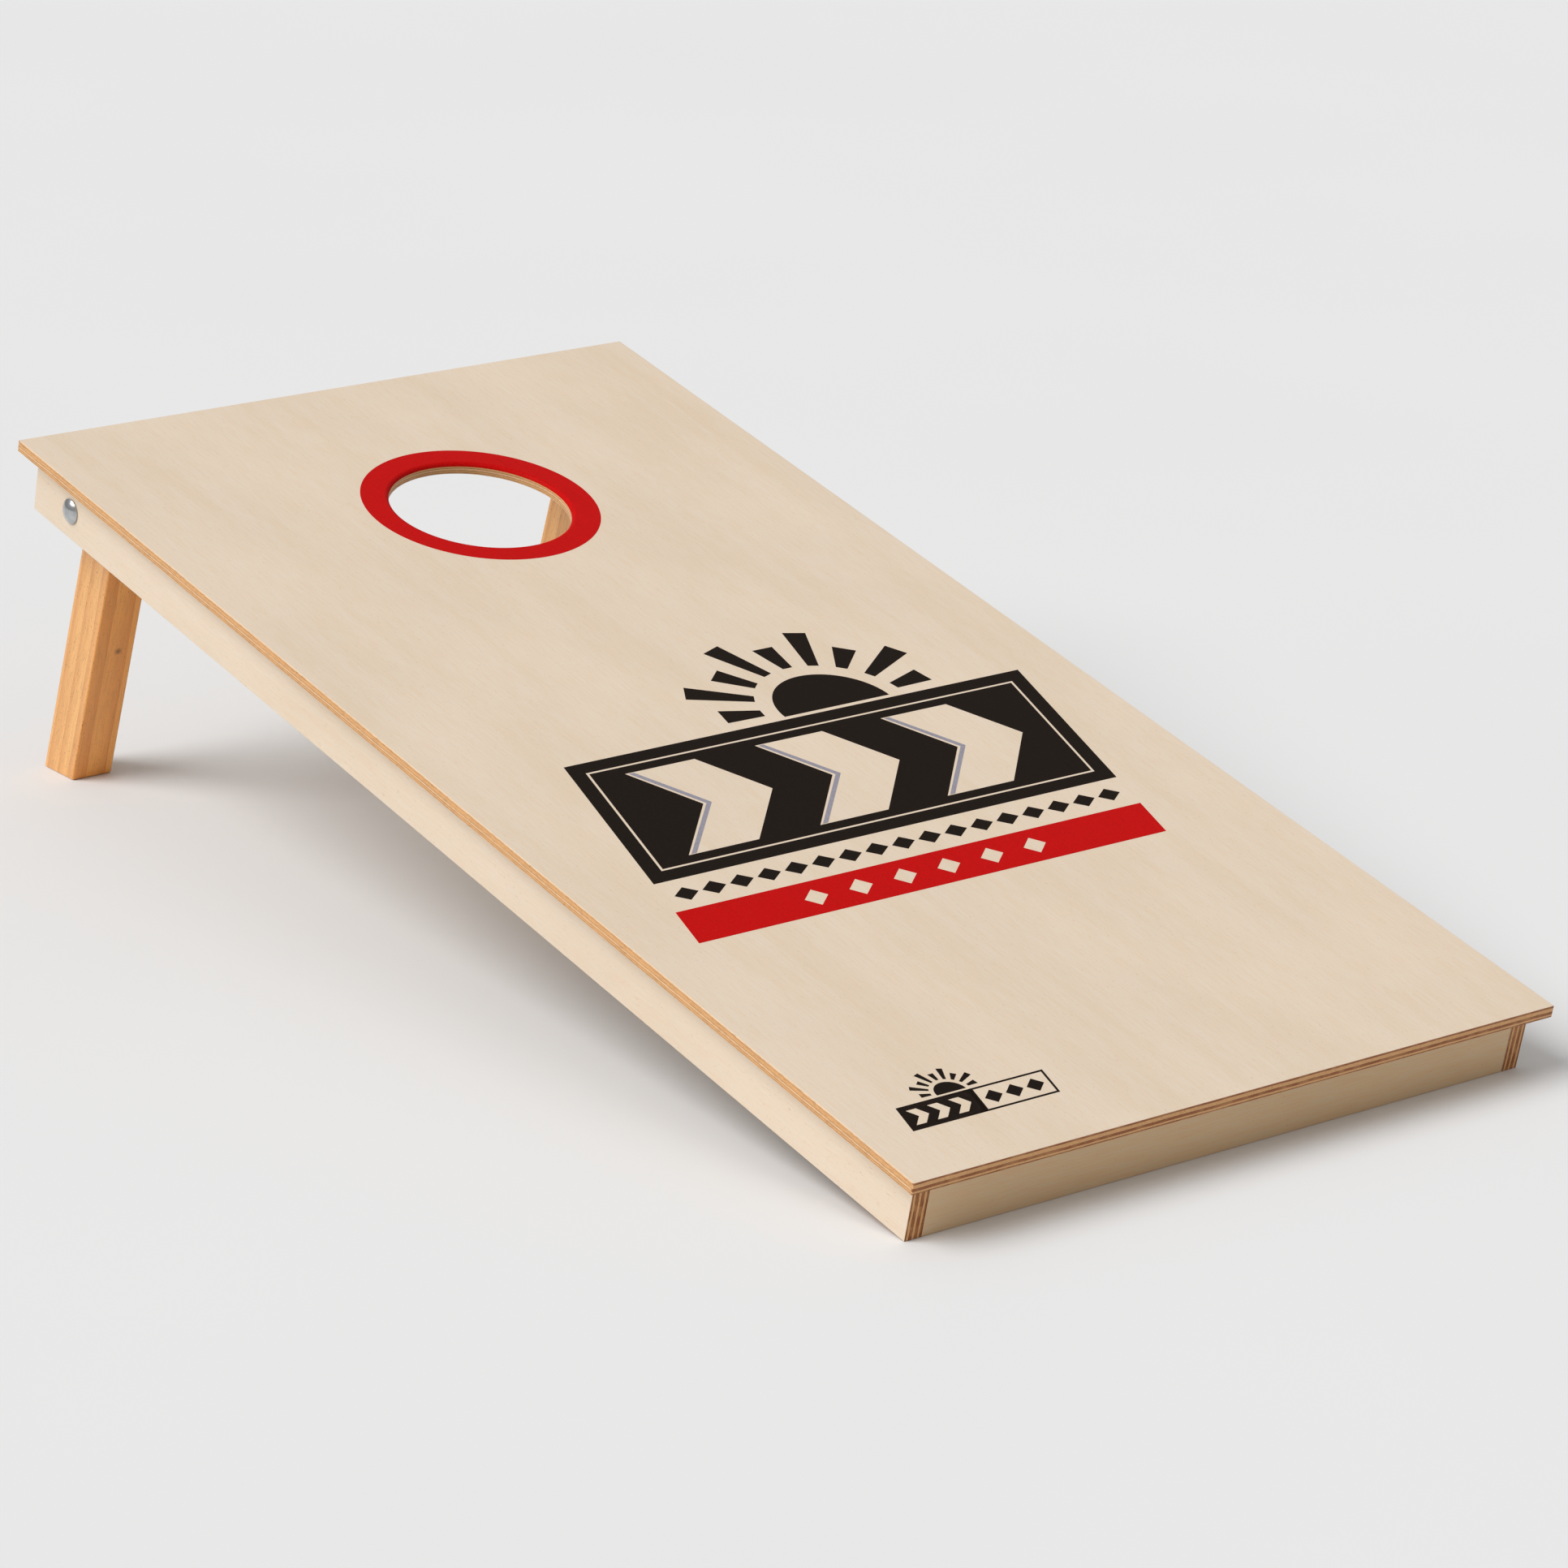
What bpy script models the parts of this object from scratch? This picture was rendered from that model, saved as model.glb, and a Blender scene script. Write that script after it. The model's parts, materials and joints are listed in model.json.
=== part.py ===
"""Cornhole board: a sloping plywood deck with a throwing hole, on a plywood frame with two folding legs.

Board axes: X runs across the board, Y from its low front end to its high back end, and Z out of the
playing face, whose middle is their origin. The empty board_axes tilts them, so that the front of the
frame and both soles stand on the world's plane Z = 0, under the middle of the object's box.
Every screw, bolt and hinge is a separate piece, with GAP between pieces that touch.
"""

import math

import bmesh
import bpy
from mathutils import Matrix, Vector

MM = 0.001
INCH = 0.0254

# Driving dimensions, in metres
GAP = 0.3 * MM

DECK_WIDTH = 24 * INCH
DECK_LENGTH = 48 * INCH
DECK_THICKNESS = 10 * MM
DECK_EDGE_ROUND = 0.6 * MM
HOLE_DIAMETER = 6 * INCH
HOLE_FROM_BACK = 232 * MM
HOLE_EDGE_ROUND = 4.0 * MM

PLY = 15 * MM
RAIL_HEIGHT = 48 * MM
SIDE_OVERHANG = 12 * MM
FRONT_OVERHANG = 12 * MM
BACK_OVERHANG = 14 * MM
BRACE_FROM_MIDDLE = 0 * MM
FRAME_EDGE_ROUND = 0.4 * MM

HINGE_BLOCK_LENGTH = 100 * MM
BLOCK_FROM_APRON = 10 * MM
PIVOT_FROM_APRON = 41 * MM
LEG_WIDTH = 38 * MM
LEG_LENGTH = 269 * MM
LEG_LEAN = math.radians(6.2)
LEG_EDGE_ROUND = 1.0 * MM
FOLDED_CLEARANCE = 2 * MM

BOLT_DIAMETER = 9.5 * MM
BOLT_PAST_NUT = 5.9 * MM
BOLT_HEAD_DIAMETER = 21.4 * MM
BOLT_HEAD_HEIGHT = 5.0 * MM
BOLT_HEAD_RIM = 0.9 * MM
BOLT_NECK_LENGTH = 5.0 * MM
BOLT_END_CHAMFER = 1.0 * MM

WASHER_OUTSIDE = 20.6 * MM
WASHER_THICKNESS = 1.5 * MM
NUT_HUB_DIAMETER = 17.0 * MM
NUT_HUB_TOP_DIAMETER = 14.0 * MM
NUT_HUB_HEIGHT = 10.5 * MM
NUT_WING_SPAN = 37.0 * MM
NUT_WING_HEIGHT = 19.0 * MM
NUT_WING_THICKNESS = 3.0 * MM

SCREW_SHANK_DIAMETER = 3.5 * MM
SCREW_HEAD_DIAMETER = 8.5 * MM
SCREW_HEAD_HEIGHT = 2.0 * MM
SCREW_POINT_LENGTH = 4.0 * MM
SCREW_RECESS_SIDE = 2.7 * MM
SCREW_RECESS_DEPTH = 1.6 * MM
LONG_SCREW_LENGTH = 25 * MM
SHORT_SCREW_LENGTH = 20 * MM
POCKET_DIAMETER = 9.5 * MM
POCKET_ANGLE = math.radians(15)
POCKET_SHOULDER = 13.5 * MM
BLOCK_SCREW_SINK = 3.5 * MM
SCREWS_PER_RAIL = 4
RAIL_SCREW_MARGIN = 90 * MM
BLOCK_SCREW_MARGIN = 40 * MM
BLOCK_SCREW_IN_FRONT = 32 * MM
BLOCK_SCREW_BEHIND = 20 * MM

HOLE_SEGMENTS = 72
HOLE_ROUND_SEGMENTS = 3
ROUND_SEGMENTS = 24
SCREW_SEGMENTS = 10
POCKET_SEGMENTS = 12
FILLET_SEGMENTS = 10
CUTTER_OVERRUN = 10 * MM

# Sizes that follow from them
FRAME_TOP = -DECK_THICKNESS - GAP
FRAME_BOTTOM = FRAME_TOP - RAIL_HEIGHT
FRAME_FRONT = -DECK_LENGTH / 2 + FRONT_OVERHANG
FRAME_BACK = DECK_LENGTH / 2 - BACK_OVERHANG
RAIL_OUTER = DECK_WIDTH / 2 - SIDE_OVERHANG
RAIL_INNER = RAIL_OUTER - PLY
APRON_FRONT_INNER = FRAME_FRONT + PLY
APRON_BACK_INNER = FRAME_BACK - PLY

BLOCK_OUTER = RAIL_INNER - GAP
BLOCK_INNER = BLOCK_OUTER - PLY
BLOCK_BACK = APRON_BACK_INNER - BLOCK_FROM_APRON
BLOCK_FRONT = BLOCK_BACK - HINGE_BLOCK_LENGTH
LEG_DEPTH = RAIL_HEIGHT - 2 * FOLDED_CLEARANCE
LEG_OUTER = BLOCK_INNER - WASHER_THICKNESS - 2 * GAP
LEG_INNER = LEG_OUTER - LEG_WIDTH
NUT_BASE = LEG_INNER - WASHER_THICKNESS - 2 * GAP
BOLT_LENGTH = RAIL_OUTER - NUT_BASE + NUT_HUB_HEIGHT + BOLT_PAST_NUT
BOLT_HOLE_DIAMETER = BOLT_DIAMETER + 2 * GAP

PIVOT_Y = APRON_BACK_INNER - PIVOT_FROM_APRON
PIVOT_Z = FRAME_TOP - RAIL_HEIGHT / 2
SOLE_Y = PIVOT_Y + LEG_LENGTH * math.sin(LEG_LEAN)
SOLE_Z = PIVOT_Z - LEG_LENGTH * math.cos(LEG_LEAN)
TILT = math.atan2(FRAME_BOTTOM - SOLE_Z, SOLE_Y - FRAME_FRONT)


def tilted(y, z):
    """The world's Y and Z of a point of the board axes, before they are shifted to their place."""
    return (
        y * math.cos(TILT) - z * math.sin(TILT),
        y * math.sin(TILT) + z * math.cos(TILT),
    )


def board_place():
    """Where the board axes stand: the floor under the frame's front, and the box's middle at Y = 0."""
    front = tilted(-DECK_LENGTH / 2, -DECK_EDGE_ROUND)[0]
    heel = tilted(SOLE_Y, SOLE_Z)[0] + LEG_DEPTH / 2 / math.cos(LEG_LEAN + TILT)
    heel -= LEG_EDGE_ROUND * math.sin(LEG_LEAN + TILT)
    back = max(tilted(DECK_LENGTH / 2, -DECK_THICKNESS)[0], heel)
    floor = tilted(FRAME_FRONT, FRAME_BOTTOM)[1]
    return Vector((0, -(front + back) / 2, -floor))


def clear_scene():
    for obj in list(bpy.data.objects):
        bpy.data.objects.remove(obj)


def new_collection(name):
    collection = bpy.data.collections.new(name)
    bpy.context.scene.collection.children.link(collection)
    return collection


def principled(name, colour, roughness, metallic=0.0):
    material = bpy.data.materials.new(name)
    material.use_nodes = True
    shader = material.node_tree.nodes["Principled BSDF"]
    shader.inputs["Base Color"].default_value = (*colour, 1)
    shader.inputs["Roughness"].default_value = roughness
    shader.inputs["Metallic"].default_value = metallic
    return material


def add(name, mesh, material=None):
    """A piece of the board, parented to the board axes."""
    obj = bpy.data.objects.new(name, mesh)
    board.objects.link(obj)
    obj.parent = board_axes
    if material and not mesh.materials:
        mesh.materials.append(material)
    return obj


def as_cutter(obj):
    """Turns an object into a cutting shape that is no part of the board."""
    board.objects.unlink(obj)
    cutters.objects.link(obj)
    obj.hide_render = True
    obj.display_type = "WIRE"
    return obj


def box_mesh(name, size):
    mesh = bpy.data.meshes.new(name)
    shape = bmesh.new()
    bmesh.ops.create_cube(shape, size=1, matrix=Matrix.Diagonal((*size, 1)))
    shape.to_mesh(mesh)
    shape.free()
    return mesh


def add_box(name, low, high, material=None, edge_round=0.0):
    """A box between two corners of the board axes, with its origin at its middle."""
    low, high = Vector(low), Vector(high)
    obj = add(name, box_mesh(name, high - low), material)
    obj.location = (low + high) / 2
    if edge_round:
        bevel = obj.modifiers.new("eased edges", "BEVEL")
        bevel.width = edge_round
        bevel.segments = 1
    return obj


def turned_mesh(name, profile, closed=False):
    """Points (radius, height) as a chain of edges, for a Screw modifier about Z."""
    mesh = bpy.data.meshes.new(name)
    shape = bmesh.new()
    points = [shape.verts.new((radius, 0, height)) for radius, height in profile]
    for first, second in zip(points, points[1:]):
        shape.edges.new((first, second))
    if closed:
        shape.edges.new((points[-1], points[0]))
    shape.to_mesh(mesh)
    shape.free()
    return mesh


def turn(obj, segments):
    screw = obj.modifiers.new("turned", "SCREW")
    screw.steps = screw.render_steps = segments
    screw.use_merge_vertices = True
    screw.merge_threshold = 0.01 * MM
    screw.use_smooth_shade = True
    return obj


def add_turned(name, profile, segments, material=None, closed=False):
    return turn(add(name, turned_mesh(name, profile, closed), material), segments)


def aim(obj, place, direction):
    """Puts an object's origin at a place, with its own Z along a direction."""
    obj.location = place
    obj.rotation_mode = "QUATERNION"
    obj.rotation_quaternion = Vector((0, 0, 1)).rotation_difference(Vector(direction))
    return obj


def boolean(obj, other, operation="DIFFERENCE"):
    modifier = obj.modifiers.new(other.name, "BOOLEAN")
    modifier.operation = operation
    modifier.object = other


def arc(centre, radius, start, end, segments):
    """Points of an arc about a centre, with both ends, from one angle to another in radians."""
    angles = [start + (end - start) * i / segments for i in range(segments + 1)]
    return [
        (centre[0] + radius * math.cos(a), centre[1] + radius * math.sin(a))
        for a in angles
    ]


def hole_profile():
    """The throwing hole with its rounded upper edge, as a plug that is cut from the deck."""
    radius = HOLE_DIAMETER / 2
    rounded = arc(
        (radius + HOLE_EDGE_ROUND, -HOLE_EDGE_ROUND),
        HOLE_EDGE_ROUND,
        math.pi / 2,
        math.pi,
        HOLE_ROUND_SEGMENTS,
    )
    top = CUTTER_OVERRUN
    bottom = -DECK_THICKNESS - CUTTER_OVERRUN
    mouth = radius + HOLE_EDGE_ROUND
    return [(0, top), (mouth, top), *rounded, (radius, bottom), (0, bottom)]


def make_deck():
    half_width, half_length = DECK_WIDTH / 2, DECK_LENGTH / 2
    deck = add_box(
        "deck",
        (-half_width, -half_length, -DECK_THICKNESS),
        (half_width, half_length, 0),
        birch,
        DECK_EDGE_ROUND,
    )
    plug = as_cutter(add_turned("hole_plug", hole_profile(), HOLE_SEGMENTS))
    plug.location = (0, half_length - HOLE_FROM_BACK, 0)
    boolean(deck, plug)
    return deck


def make_rail(side, name):
    x = sorted((side * RAIL_INNER, side * RAIL_OUTER))
    return add_box(
        name,
        (x[0], FRAME_FRONT, FRAME_BOTTOM),
        (x[1], FRAME_BACK, FRAME_TOP),
        birch,
        FRAME_EDGE_ROUND,
    )


def make_cross_member(name, front):
    """A strip of the rails' plywood that fits between them, one thickness deep in Y."""
    end = RAIL_INNER - GAP
    return add_box(
        name,
        (-end, front, FRAME_BOTTOM),
        (end, front + PLY, FRAME_TOP),
        birch,
        FRAME_EDGE_ROUND,
    )


def make_hinge_block(side, name):
    x = sorted((side * BLOCK_INNER, side * BLOCK_OUTER))
    return add_box(
        name,
        (x[0], BLOCK_FRONT, FRAME_BOTTOM),
        (x[1], BLOCK_BACK, FRAME_TOP),
        birch,
        FRAME_EDGE_ROUND,
    )


def screw_profile(length):
    """A washer-head screw from its top down to its point; its seat is at height 0."""
    head, shank = SCREW_HEAD_DIAMETER / 2, SCREW_SHANK_DIAMETER / 2
    top = SCREW_HEAD_HEIGHT
    return [
        (0, top),
        (head * 0.6, top),
        (head, top * 0.3),
        (head, 0),
        (shank, 0),
        (shank, SCREW_POINT_LENGTH - length),
        (0, -length),
    ]


def pocket_profile(length):
    """The stepped hole for a screw: a wide pocket above height -GAP, and a narrow one below it."""
    wide = POCKET_DIAMETER / 2
    narrow = SCREW_SHANK_DIAMETER / 2 + GAP
    top = length + 4 * CUTTER_OVERRUN
    return [
        (0, top),
        (wide, top),
        (wide, -GAP),
        (narrow, -GAP),
        (narrow, -length - GAP),
        (0, -length - GAP),
    ]


def make_screw_meshes():
    """One mesh for each screw length, and one for the hole that it goes in."""
    meshes = {}
    for length in (LONG_SCREW_LENGTH, SHORT_SCREW_LENGTH):
        label = f"{length / MM:.0f}"
        meshes[length] = (
            turned_mesh("screw_" + label, screw_profile(length)),
            turned_mesh("pocket_" + label, pocket_profile(length)),
        )
        meshes[length][0].materials.append(zinc)
    return meshes


def add_screw(name, length, seat, to_head, hosts):
    """A screw with its head's underside at its seat, and the stepped hole for it in each host."""
    screw_mesh, pocket_mesh = screw_meshes[length]
    seat, direction = Vector(seat), Vector(to_head).normalized()
    screw = aim(turn(add(name, screw_mesh), SCREW_SEGMENTS), seat, direction)
    recess = add_box(
        name + "_recess",
        (-SCREW_RECESS_SIDE / 2, -SCREW_RECESS_SIDE / 2, -SCREW_RECESS_DEPTH),
        (SCREW_RECESS_SIDE / 2, SCREW_RECESS_SIDE / 2, SCREW_RECESS_DEPTH),
    )
    aim(as_cutter(recess), seat + direction * SCREW_HEAD_HEIGHT, direction)
    boolean(screw, recess)
    pocket = turn(add(name + "_pocket", pocket_mesh), POCKET_SEGMENTS)
    aim(as_cutter(pocket), seat, direction)
    for host in hosts:
        boolean(host, pocket)


def add_pocket_screw(name, length, joint_point, along, inwards, hosts):
    """A slanted screw that crosses a joint at a point, its head away along the host and to its inner face."""
    to_head = Vector(along) * math.cos(POCKET_ANGLE) + Vector(inwards) * math.sin(POCKET_ANGLE)
    add_screw(name, length, Vector(joint_point) + to_head * POCKET_SHOULDER, to_head, hosts)


def screw_cross_member(member, name, front, inwards, rails):
    """Two pocket screws at each end, into the rails."""
    for side, rail in rails.items():
        for label, share in (("upper", 0.25), ("lower", -0.25)):
            height = FRAME_TOP - RAIL_HEIGHT / 2 + share * RAIL_HEIGHT
            add_pocket_screw(
                f"{name}_screw_{SIDE_NAMES[side]}_{label}",
                LONG_SCREW_LENGTH,
                (side * (RAIL_INNER - GAP), front + PLY / 2, height),
                (-side, 0, 0),
                (0, inwards, 0),
                (member, rail),
            )


def screw_deck_down(deck, rails, members):
    """Pocket screws up from the frame into the deck's underside, stopping inside it."""
    first = APRON_FRONT_INNER + RAIL_SCREW_MARGIN
    last = BLOCK_FRONT - BLOCK_SCREW_MARGIN
    for side, rail in rails.items():
        for i in range(SCREWS_PER_RAIL):
            y = first + (last - first) * i / (SCREWS_PER_RAIL - 1)
            add_pocket_screw(
                f"deck_screw_{SIDE_NAMES[side]}_{i + 1}",
                SHORT_SCREW_LENGTH,
                (side * (RAIL_INNER + PLY / 2), y, FRAME_TOP),
                (0, 0, -1),
                (-side, 0, 0),
                (rail, deck),
            )
    for name, (member, front, inwards) in members.items():
        for side in rails:
            add_pocket_screw(
                f"deck_screw_{name}_{SIDE_NAMES[side]}",
                SHORT_SCREW_LENGTH,
                (side * DECK_WIDTH / 4, front + PLY / 2, FRAME_TOP),
                (0, 0, -1),
                (0, inwards, 0),
                (member, deck),
            )


def make_leg_mesh():
    """The leg about its pivot, hanging along -Z. Its top is cut to stop on the deck, and rounded in front."""
    shape = bmesh.new()
    length = LEG_LENGTH + 2 * RAIL_HEIGHT
    size = Matrix.Diagonal((LEG_WIDTH, LEG_DEPTH, 2 * length, 1))
    bmesh.ops.create_cube(shape, size=1, matrix=size)
    deck_normal = Vector((0, math.sin(LEG_LEAN), math.cos(LEG_LEAN)))
    floor_up = Vector((0, math.sin(LEG_LEAN + TILT), math.cos(LEG_LEAN + TILT)))
    top = deck_normal * (RAIL_HEIGHT / 2)
    sole = Vector((0, 0, -LEG_LENGTH))
    for place, outwards in ((top, deck_normal), (sole, -floor_up)):
        cut = bmesh.ops.bisect_plane(
            shape,
            geom=shape.verts[:] + shape.edges[:] + shape.faces[:],
            plane_co=place,
            plane_no=outwards,
            clear_outer=True,
        )
        rim = [e for e in cut["geom_cut"] if isinstance(e, bmesh.types.BMEdge)]
        bmesh.ops.edgeloop_fill(shape, edges=rim)
    bmesh.ops.recalc_face_normals(shape, faces=shape.faces)
    front_top = [
        e
        for e in shape.edges
        if all(v.co.y < 0 and v.co.z > 0 for v in e.verts) and abs(e.verts[0].co.z - e.verts[1].co.z) < GAP
    ]
    corner = math.pi / 2 - LEG_LEAN
    bmesh.ops.bevel(
        shape,
        geom=front_top,
        offset=LEG_DEPTH / 2 / math.tan(corner / 2),
        offset_type="OFFSET",
        segments=FILLET_SEGMENTS,
        profile=0.5,
        affect="EDGES",
    )
    mesh = bpy.data.meshes.new("leg")
    shape.to_mesh(mesh)
    shape.free()
    mesh.materials.append(pine)
    return mesh


def place_leg(side, name, mesh):
    """A leg with its origin on the bolt's line, leaning back from the deck's normal."""
    leg = add(name, mesh)
    leg.location = (side * (LEG_INNER + LEG_WIDTH / 2), PIVOT_Y, PIVOT_Z)
    leg.rotation_euler = (LEG_LEAN, 0, 0)
    bevel = leg.modifiers.new("eased edges", "BEVEL")
    bevel.width = LEG_EDGE_ROUND
    bevel.segments = 1
    bevel.limit_method = "ANGLE"
    bevel.angle_limit = math.radians(40)
    return leg


def bolt_profile():
    """A carriage bolt's head and shank; the head's underside is at height 0."""
    cap = BOLT_HEAD_HEIGHT - BOLT_HEAD_RIM
    half = BOLT_HEAD_DIAMETER / 2
    sphere = (half**2 + cap**2) / (2 * cap)
    half_angle = math.asin(half / sphere)
    centre = (0, BOLT_HEAD_HEIGHT - sphere)
    dome = arc(centre, sphere, math.pi / 2, math.pi / 2 - half_angle, 6)
    dome[0] = (0, BOLT_HEAD_HEIGHT)
    shank = BOLT_DIAMETER / 2
    return [
        *dome,
        (half, 0),
        (shank, 0),
        (shank, BOLT_END_CHAMFER - BOLT_LENGTH),
        (shank - BOLT_END_CHAMFER, -BOLT_LENGTH),
        (0, -BOLT_LENGTH),
    ]


def neck_box(name, side_length, top, bottom):
    half = side_length / 2
    return add_box(name, (-half, -half, bottom), (half, half, top))


def make_bolt(side, name, hosts, rail):
    """A carriage bolt from outside the rail, its round hole in each host, and its square one in the rail."""
    head_seat = (side * (RAIL_OUTER + GAP), PIVOT_Y, PIVOT_Z)
    outwards = (side, 0, 0)
    bolt = add_turned(name, bolt_profile(), ROUND_SEGMENTS, zinc)
    neck = neck_box(name + "_neck", BOLT_DIAMETER, BOLT_HEAD_RIM / 2, -BOLT_NECK_LENGTH)
    neck_hole = neck_box(
        name + "_neck_hole", BOLT_HOLE_DIAMETER, CUTTER_OVERRUN, -BOLT_NECK_LENGTH - GAP
    )
    radius = BOLT_HOLE_DIAMETER / 2
    depth = -BOLT_LENGTH - CUTTER_OVERRUN
    drill = add_turned(
        name + "_drill",
        [(0, CUTTER_OVERRUN), (radius, CUTTER_OVERRUN), (radius, depth), (0, depth)],
        ROUND_SEGMENTS,
    )
    for obj in (neck, neck_hole, drill):
        as_cutter(obj)
    for obj in (bolt, neck, neck_hole, drill):
        aim(obj, head_seat, outwards)
    boolean(bolt, neck, "UNION")
    boolean(rail, neck_hole)
    for host in hosts:
        boolean(host, drill)
    return bolt


def make_washer(side, name, x):
    """A flat washer on the bolt, whose outer face is at a distance x from the board's middle."""
    inner = BOLT_HOLE_DIAMETER / 2 + GAP / 3
    outer = WASHER_OUTSIDE / 2
    washer = add_turned(
        name,
        [(inner, 0), (outer, 0), (outer, -WASHER_THICKNESS), (inner, -WASHER_THICKNESS)],
        ROUND_SEGMENTS,
        zinc,
        closed=True,
    )
    return aim(washer, (side * x, PIVOT_Y, PIVOT_Z), (side, 0, 0))


def wing_outline(end):
    """A wing from the hub to its round tip, in (radius, height): the band round two circles."""
    root_radius, tip_radius = NUT_HUB_TOP_DIAMETER / 4, NUT_WING_SPAN / 8
    root = Vector((NUT_HUB_TOP_DIAMETER / 4, NUT_HUB_HEIGHT / 2))
    tip = Vector((NUT_WING_SPAN / 2 - tip_radius, NUT_WING_HEIGHT - tip_radius))
    slope = math.atan2(tip.y - root.y, tip.x - root.x)
    turn_off = math.acos((root_radius - tip_radius) / (tip - root).length)
    around = (
        arc(tip, tip_radius, slope - turn_off, slope + turn_off, 10),
        arc(root, root_radius, slope + turn_off, slope + 2 * math.pi - turn_off, 8),
    )
    return [(end * radius, height) for points in around for radius, height in points]


def flat_mesh(name, outline, thickness):
    """An outline in X and Z as a solid plate of a thickness in Y."""
    curve = bpy.data.curves.new(name, "CURVE")
    curve.dimensions = "2D"
    curve.fill_mode = "BOTH"
    curve.extrude = thickness / 2
    spline = curve.splines.new("POLY")
    spline.points.add(len(outline) - 1)
    for point, (x, z) in zip(spline.points, outline):
        point.co = (x, z, 0, 1)
    spline.use_cyclic_u = True
    holder = bpy.data.objects.new(name, curve)
    bpy.context.scene.collection.objects.link(holder)
    graph = bpy.context.evaluated_depsgraph_get()
    mesh = bpy.data.meshes.new_from_object(holder.evaluated_get(graph))
    bpy.data.objects.remove(holder)
    shape = bmesh.new()
    shape.from_mesh(mesh)
    bmesh.ops.remove_doubles(shape, verts=shape.verts, dist=0.001 * MM)
    bmesh.ops.rotate(shape, verts=shape.verts, matrix=Matrix.Rotation(math.pi / 2, 3, "X"))
    bmesh.ops.recalc_face_normals(shape, faces=shape.faces)
    shape.to_mesh(mesh)
    shape.free()
    return mesh


def make_wing_nut(side, name):
    """A wing nut with its base towards the leg and its wings standing away from it."""
    base, top = NUT_HUB_DIAMETER / 2, NUT_HUB_TOP_DIAMETER / 2
    inwards = (-side, 0, 0)
    place = (side * NUT_BASE, PIVOT_Y, PIVOT_Z)
    nut = add_turned(
        name,
        [(0, NUT_HUB_HEIGHT), (top, NUT_HUB_HEIGHT), (base, NUT_HUB_HEIGHT * 0.15), (base, 0), (0, 0)],
        ROUND_SEGMENTS,
        zinc,
    )
    for end in (-1, 1):
        label = f"{name}_wing_{'a' if end < 0 else 'b'}"
        wing = as_cutter(add(label, flat_mesh(label, wing_outline(end), NUT_WING_THICKNESS)))
        boolean(nut, aim(wing, place, inwards), "UNION")
    radius = BOLT_HOLE_DIAMETER / 2
    low, high = -CUTTER_OVERRUN, NUT_WING_HEIGHT + CUTTER_OVERRUN
    thread = add_turned(
        name + "_bore", [(0, high), (radius, high), (radius, low), (0, low)], ROUND_SEGMENTS
    )
    boolean(nut, aim(as_cutter(thread), place, inwards))
    return aim(nut, place, inwards)


def make_leg_hardware(side, rail, leg_mesh):
    """One side's hinge block, leg, bolt, washers and wing nut."""
    label = SIDE_NAMES[side]
    block = make_hinge_block(side, label + "_hinge_block")
    leg = place_leg(side, label + "_leg", leg_mesh)
    make_bolt(side, label + "_carriage_bolt", (rail, block, leg), rail)
    make_washer(side, label + "_hinge_washer", BLOCK_INNER - GAP)
    make_washer(side, label + "_nut_washer", LEG_INNER - GAP)
    make_wing_nut(side, label + "_wing_nut")
    for place, offset in (("front", -BLOCK_SCREW_IN_FRONT), ("back", BLOCK_SCREW_BEHIND)):
        add_screw(
            f"{label}_block_screw_{place}",
            SHORT_SCREW_LENGTH,
            (side * (BLOCK_INNER + BLOCK_SCREW_SINK), PIVOT_Y + offset, PIVOT_Z),
            (-side, 0, 0),
            (block, rail),
        )


SIDE_NAMES = {-1: "left", 1: "right"}

clear_scene()
board = new_collection("cornhole_board")
cutters = new_collection("cutters")
board_axes = bpy.data.objects.new("board_axes", None)
board.objects.link(board_axes)
board_axes.location = board_place()
board_axes.rotation_euler = (TILT, 0, 0)

birch = principled("birch plywood", (0.70, 0.58, 0.42), 0.55)
pine = principled("varnished pine", (0.68, 0.38, 0.17), 0.4)
zinc = principled("zinc-plated steel", (0.62, 0.63, 0.62), 0.3, 1.0)
screw_meshes = make_screw_meshes()


def main():
    deck = make_deck()
    rails = {side: make_rail(side, SIDE_NAMES[side] + "_rail") for side in SIDE_NAMES}
    brace_front = BRACE_FROM_MIDDLE - PLY / 2
    members = {
        "front_apron": (make_cross_member("front_apron", FRAME_FRONT), FRAME_FRONT, 1),
        "centre_brace": (make_cross_member("centre_brace", brace_front), brace_front, 1),
        "back_apron": (make_cross_member("back_apron", APRON_BACK_INNER), APRON_BACK_INNER, -1),
    }
    for name, (member, front, inwards) in members.items():
        screw_cross_member(member, name, front, inwards, rails)
    screw_deck_down(deck, rails, members)
    leg_mesh = make_leg_mesh()
    for side, rail in rails.items():
        make_leg_hardware(side, rail, leg_mesh)


main()
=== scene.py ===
"""Cornhole board: the finish of a sloping plywood deck with printed ink, its frame, folding legs and fixings.

The CAD frame gives every place and size that it holds. Board axes run across the deck (u), along it to
its high back end (v) and out of its playing face (n), from the middle of that face. All lengths are metres.
"""

import json
import math

import bmesh
import bpy
from mathutils import Matrix, Quaternion, Vector


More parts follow.
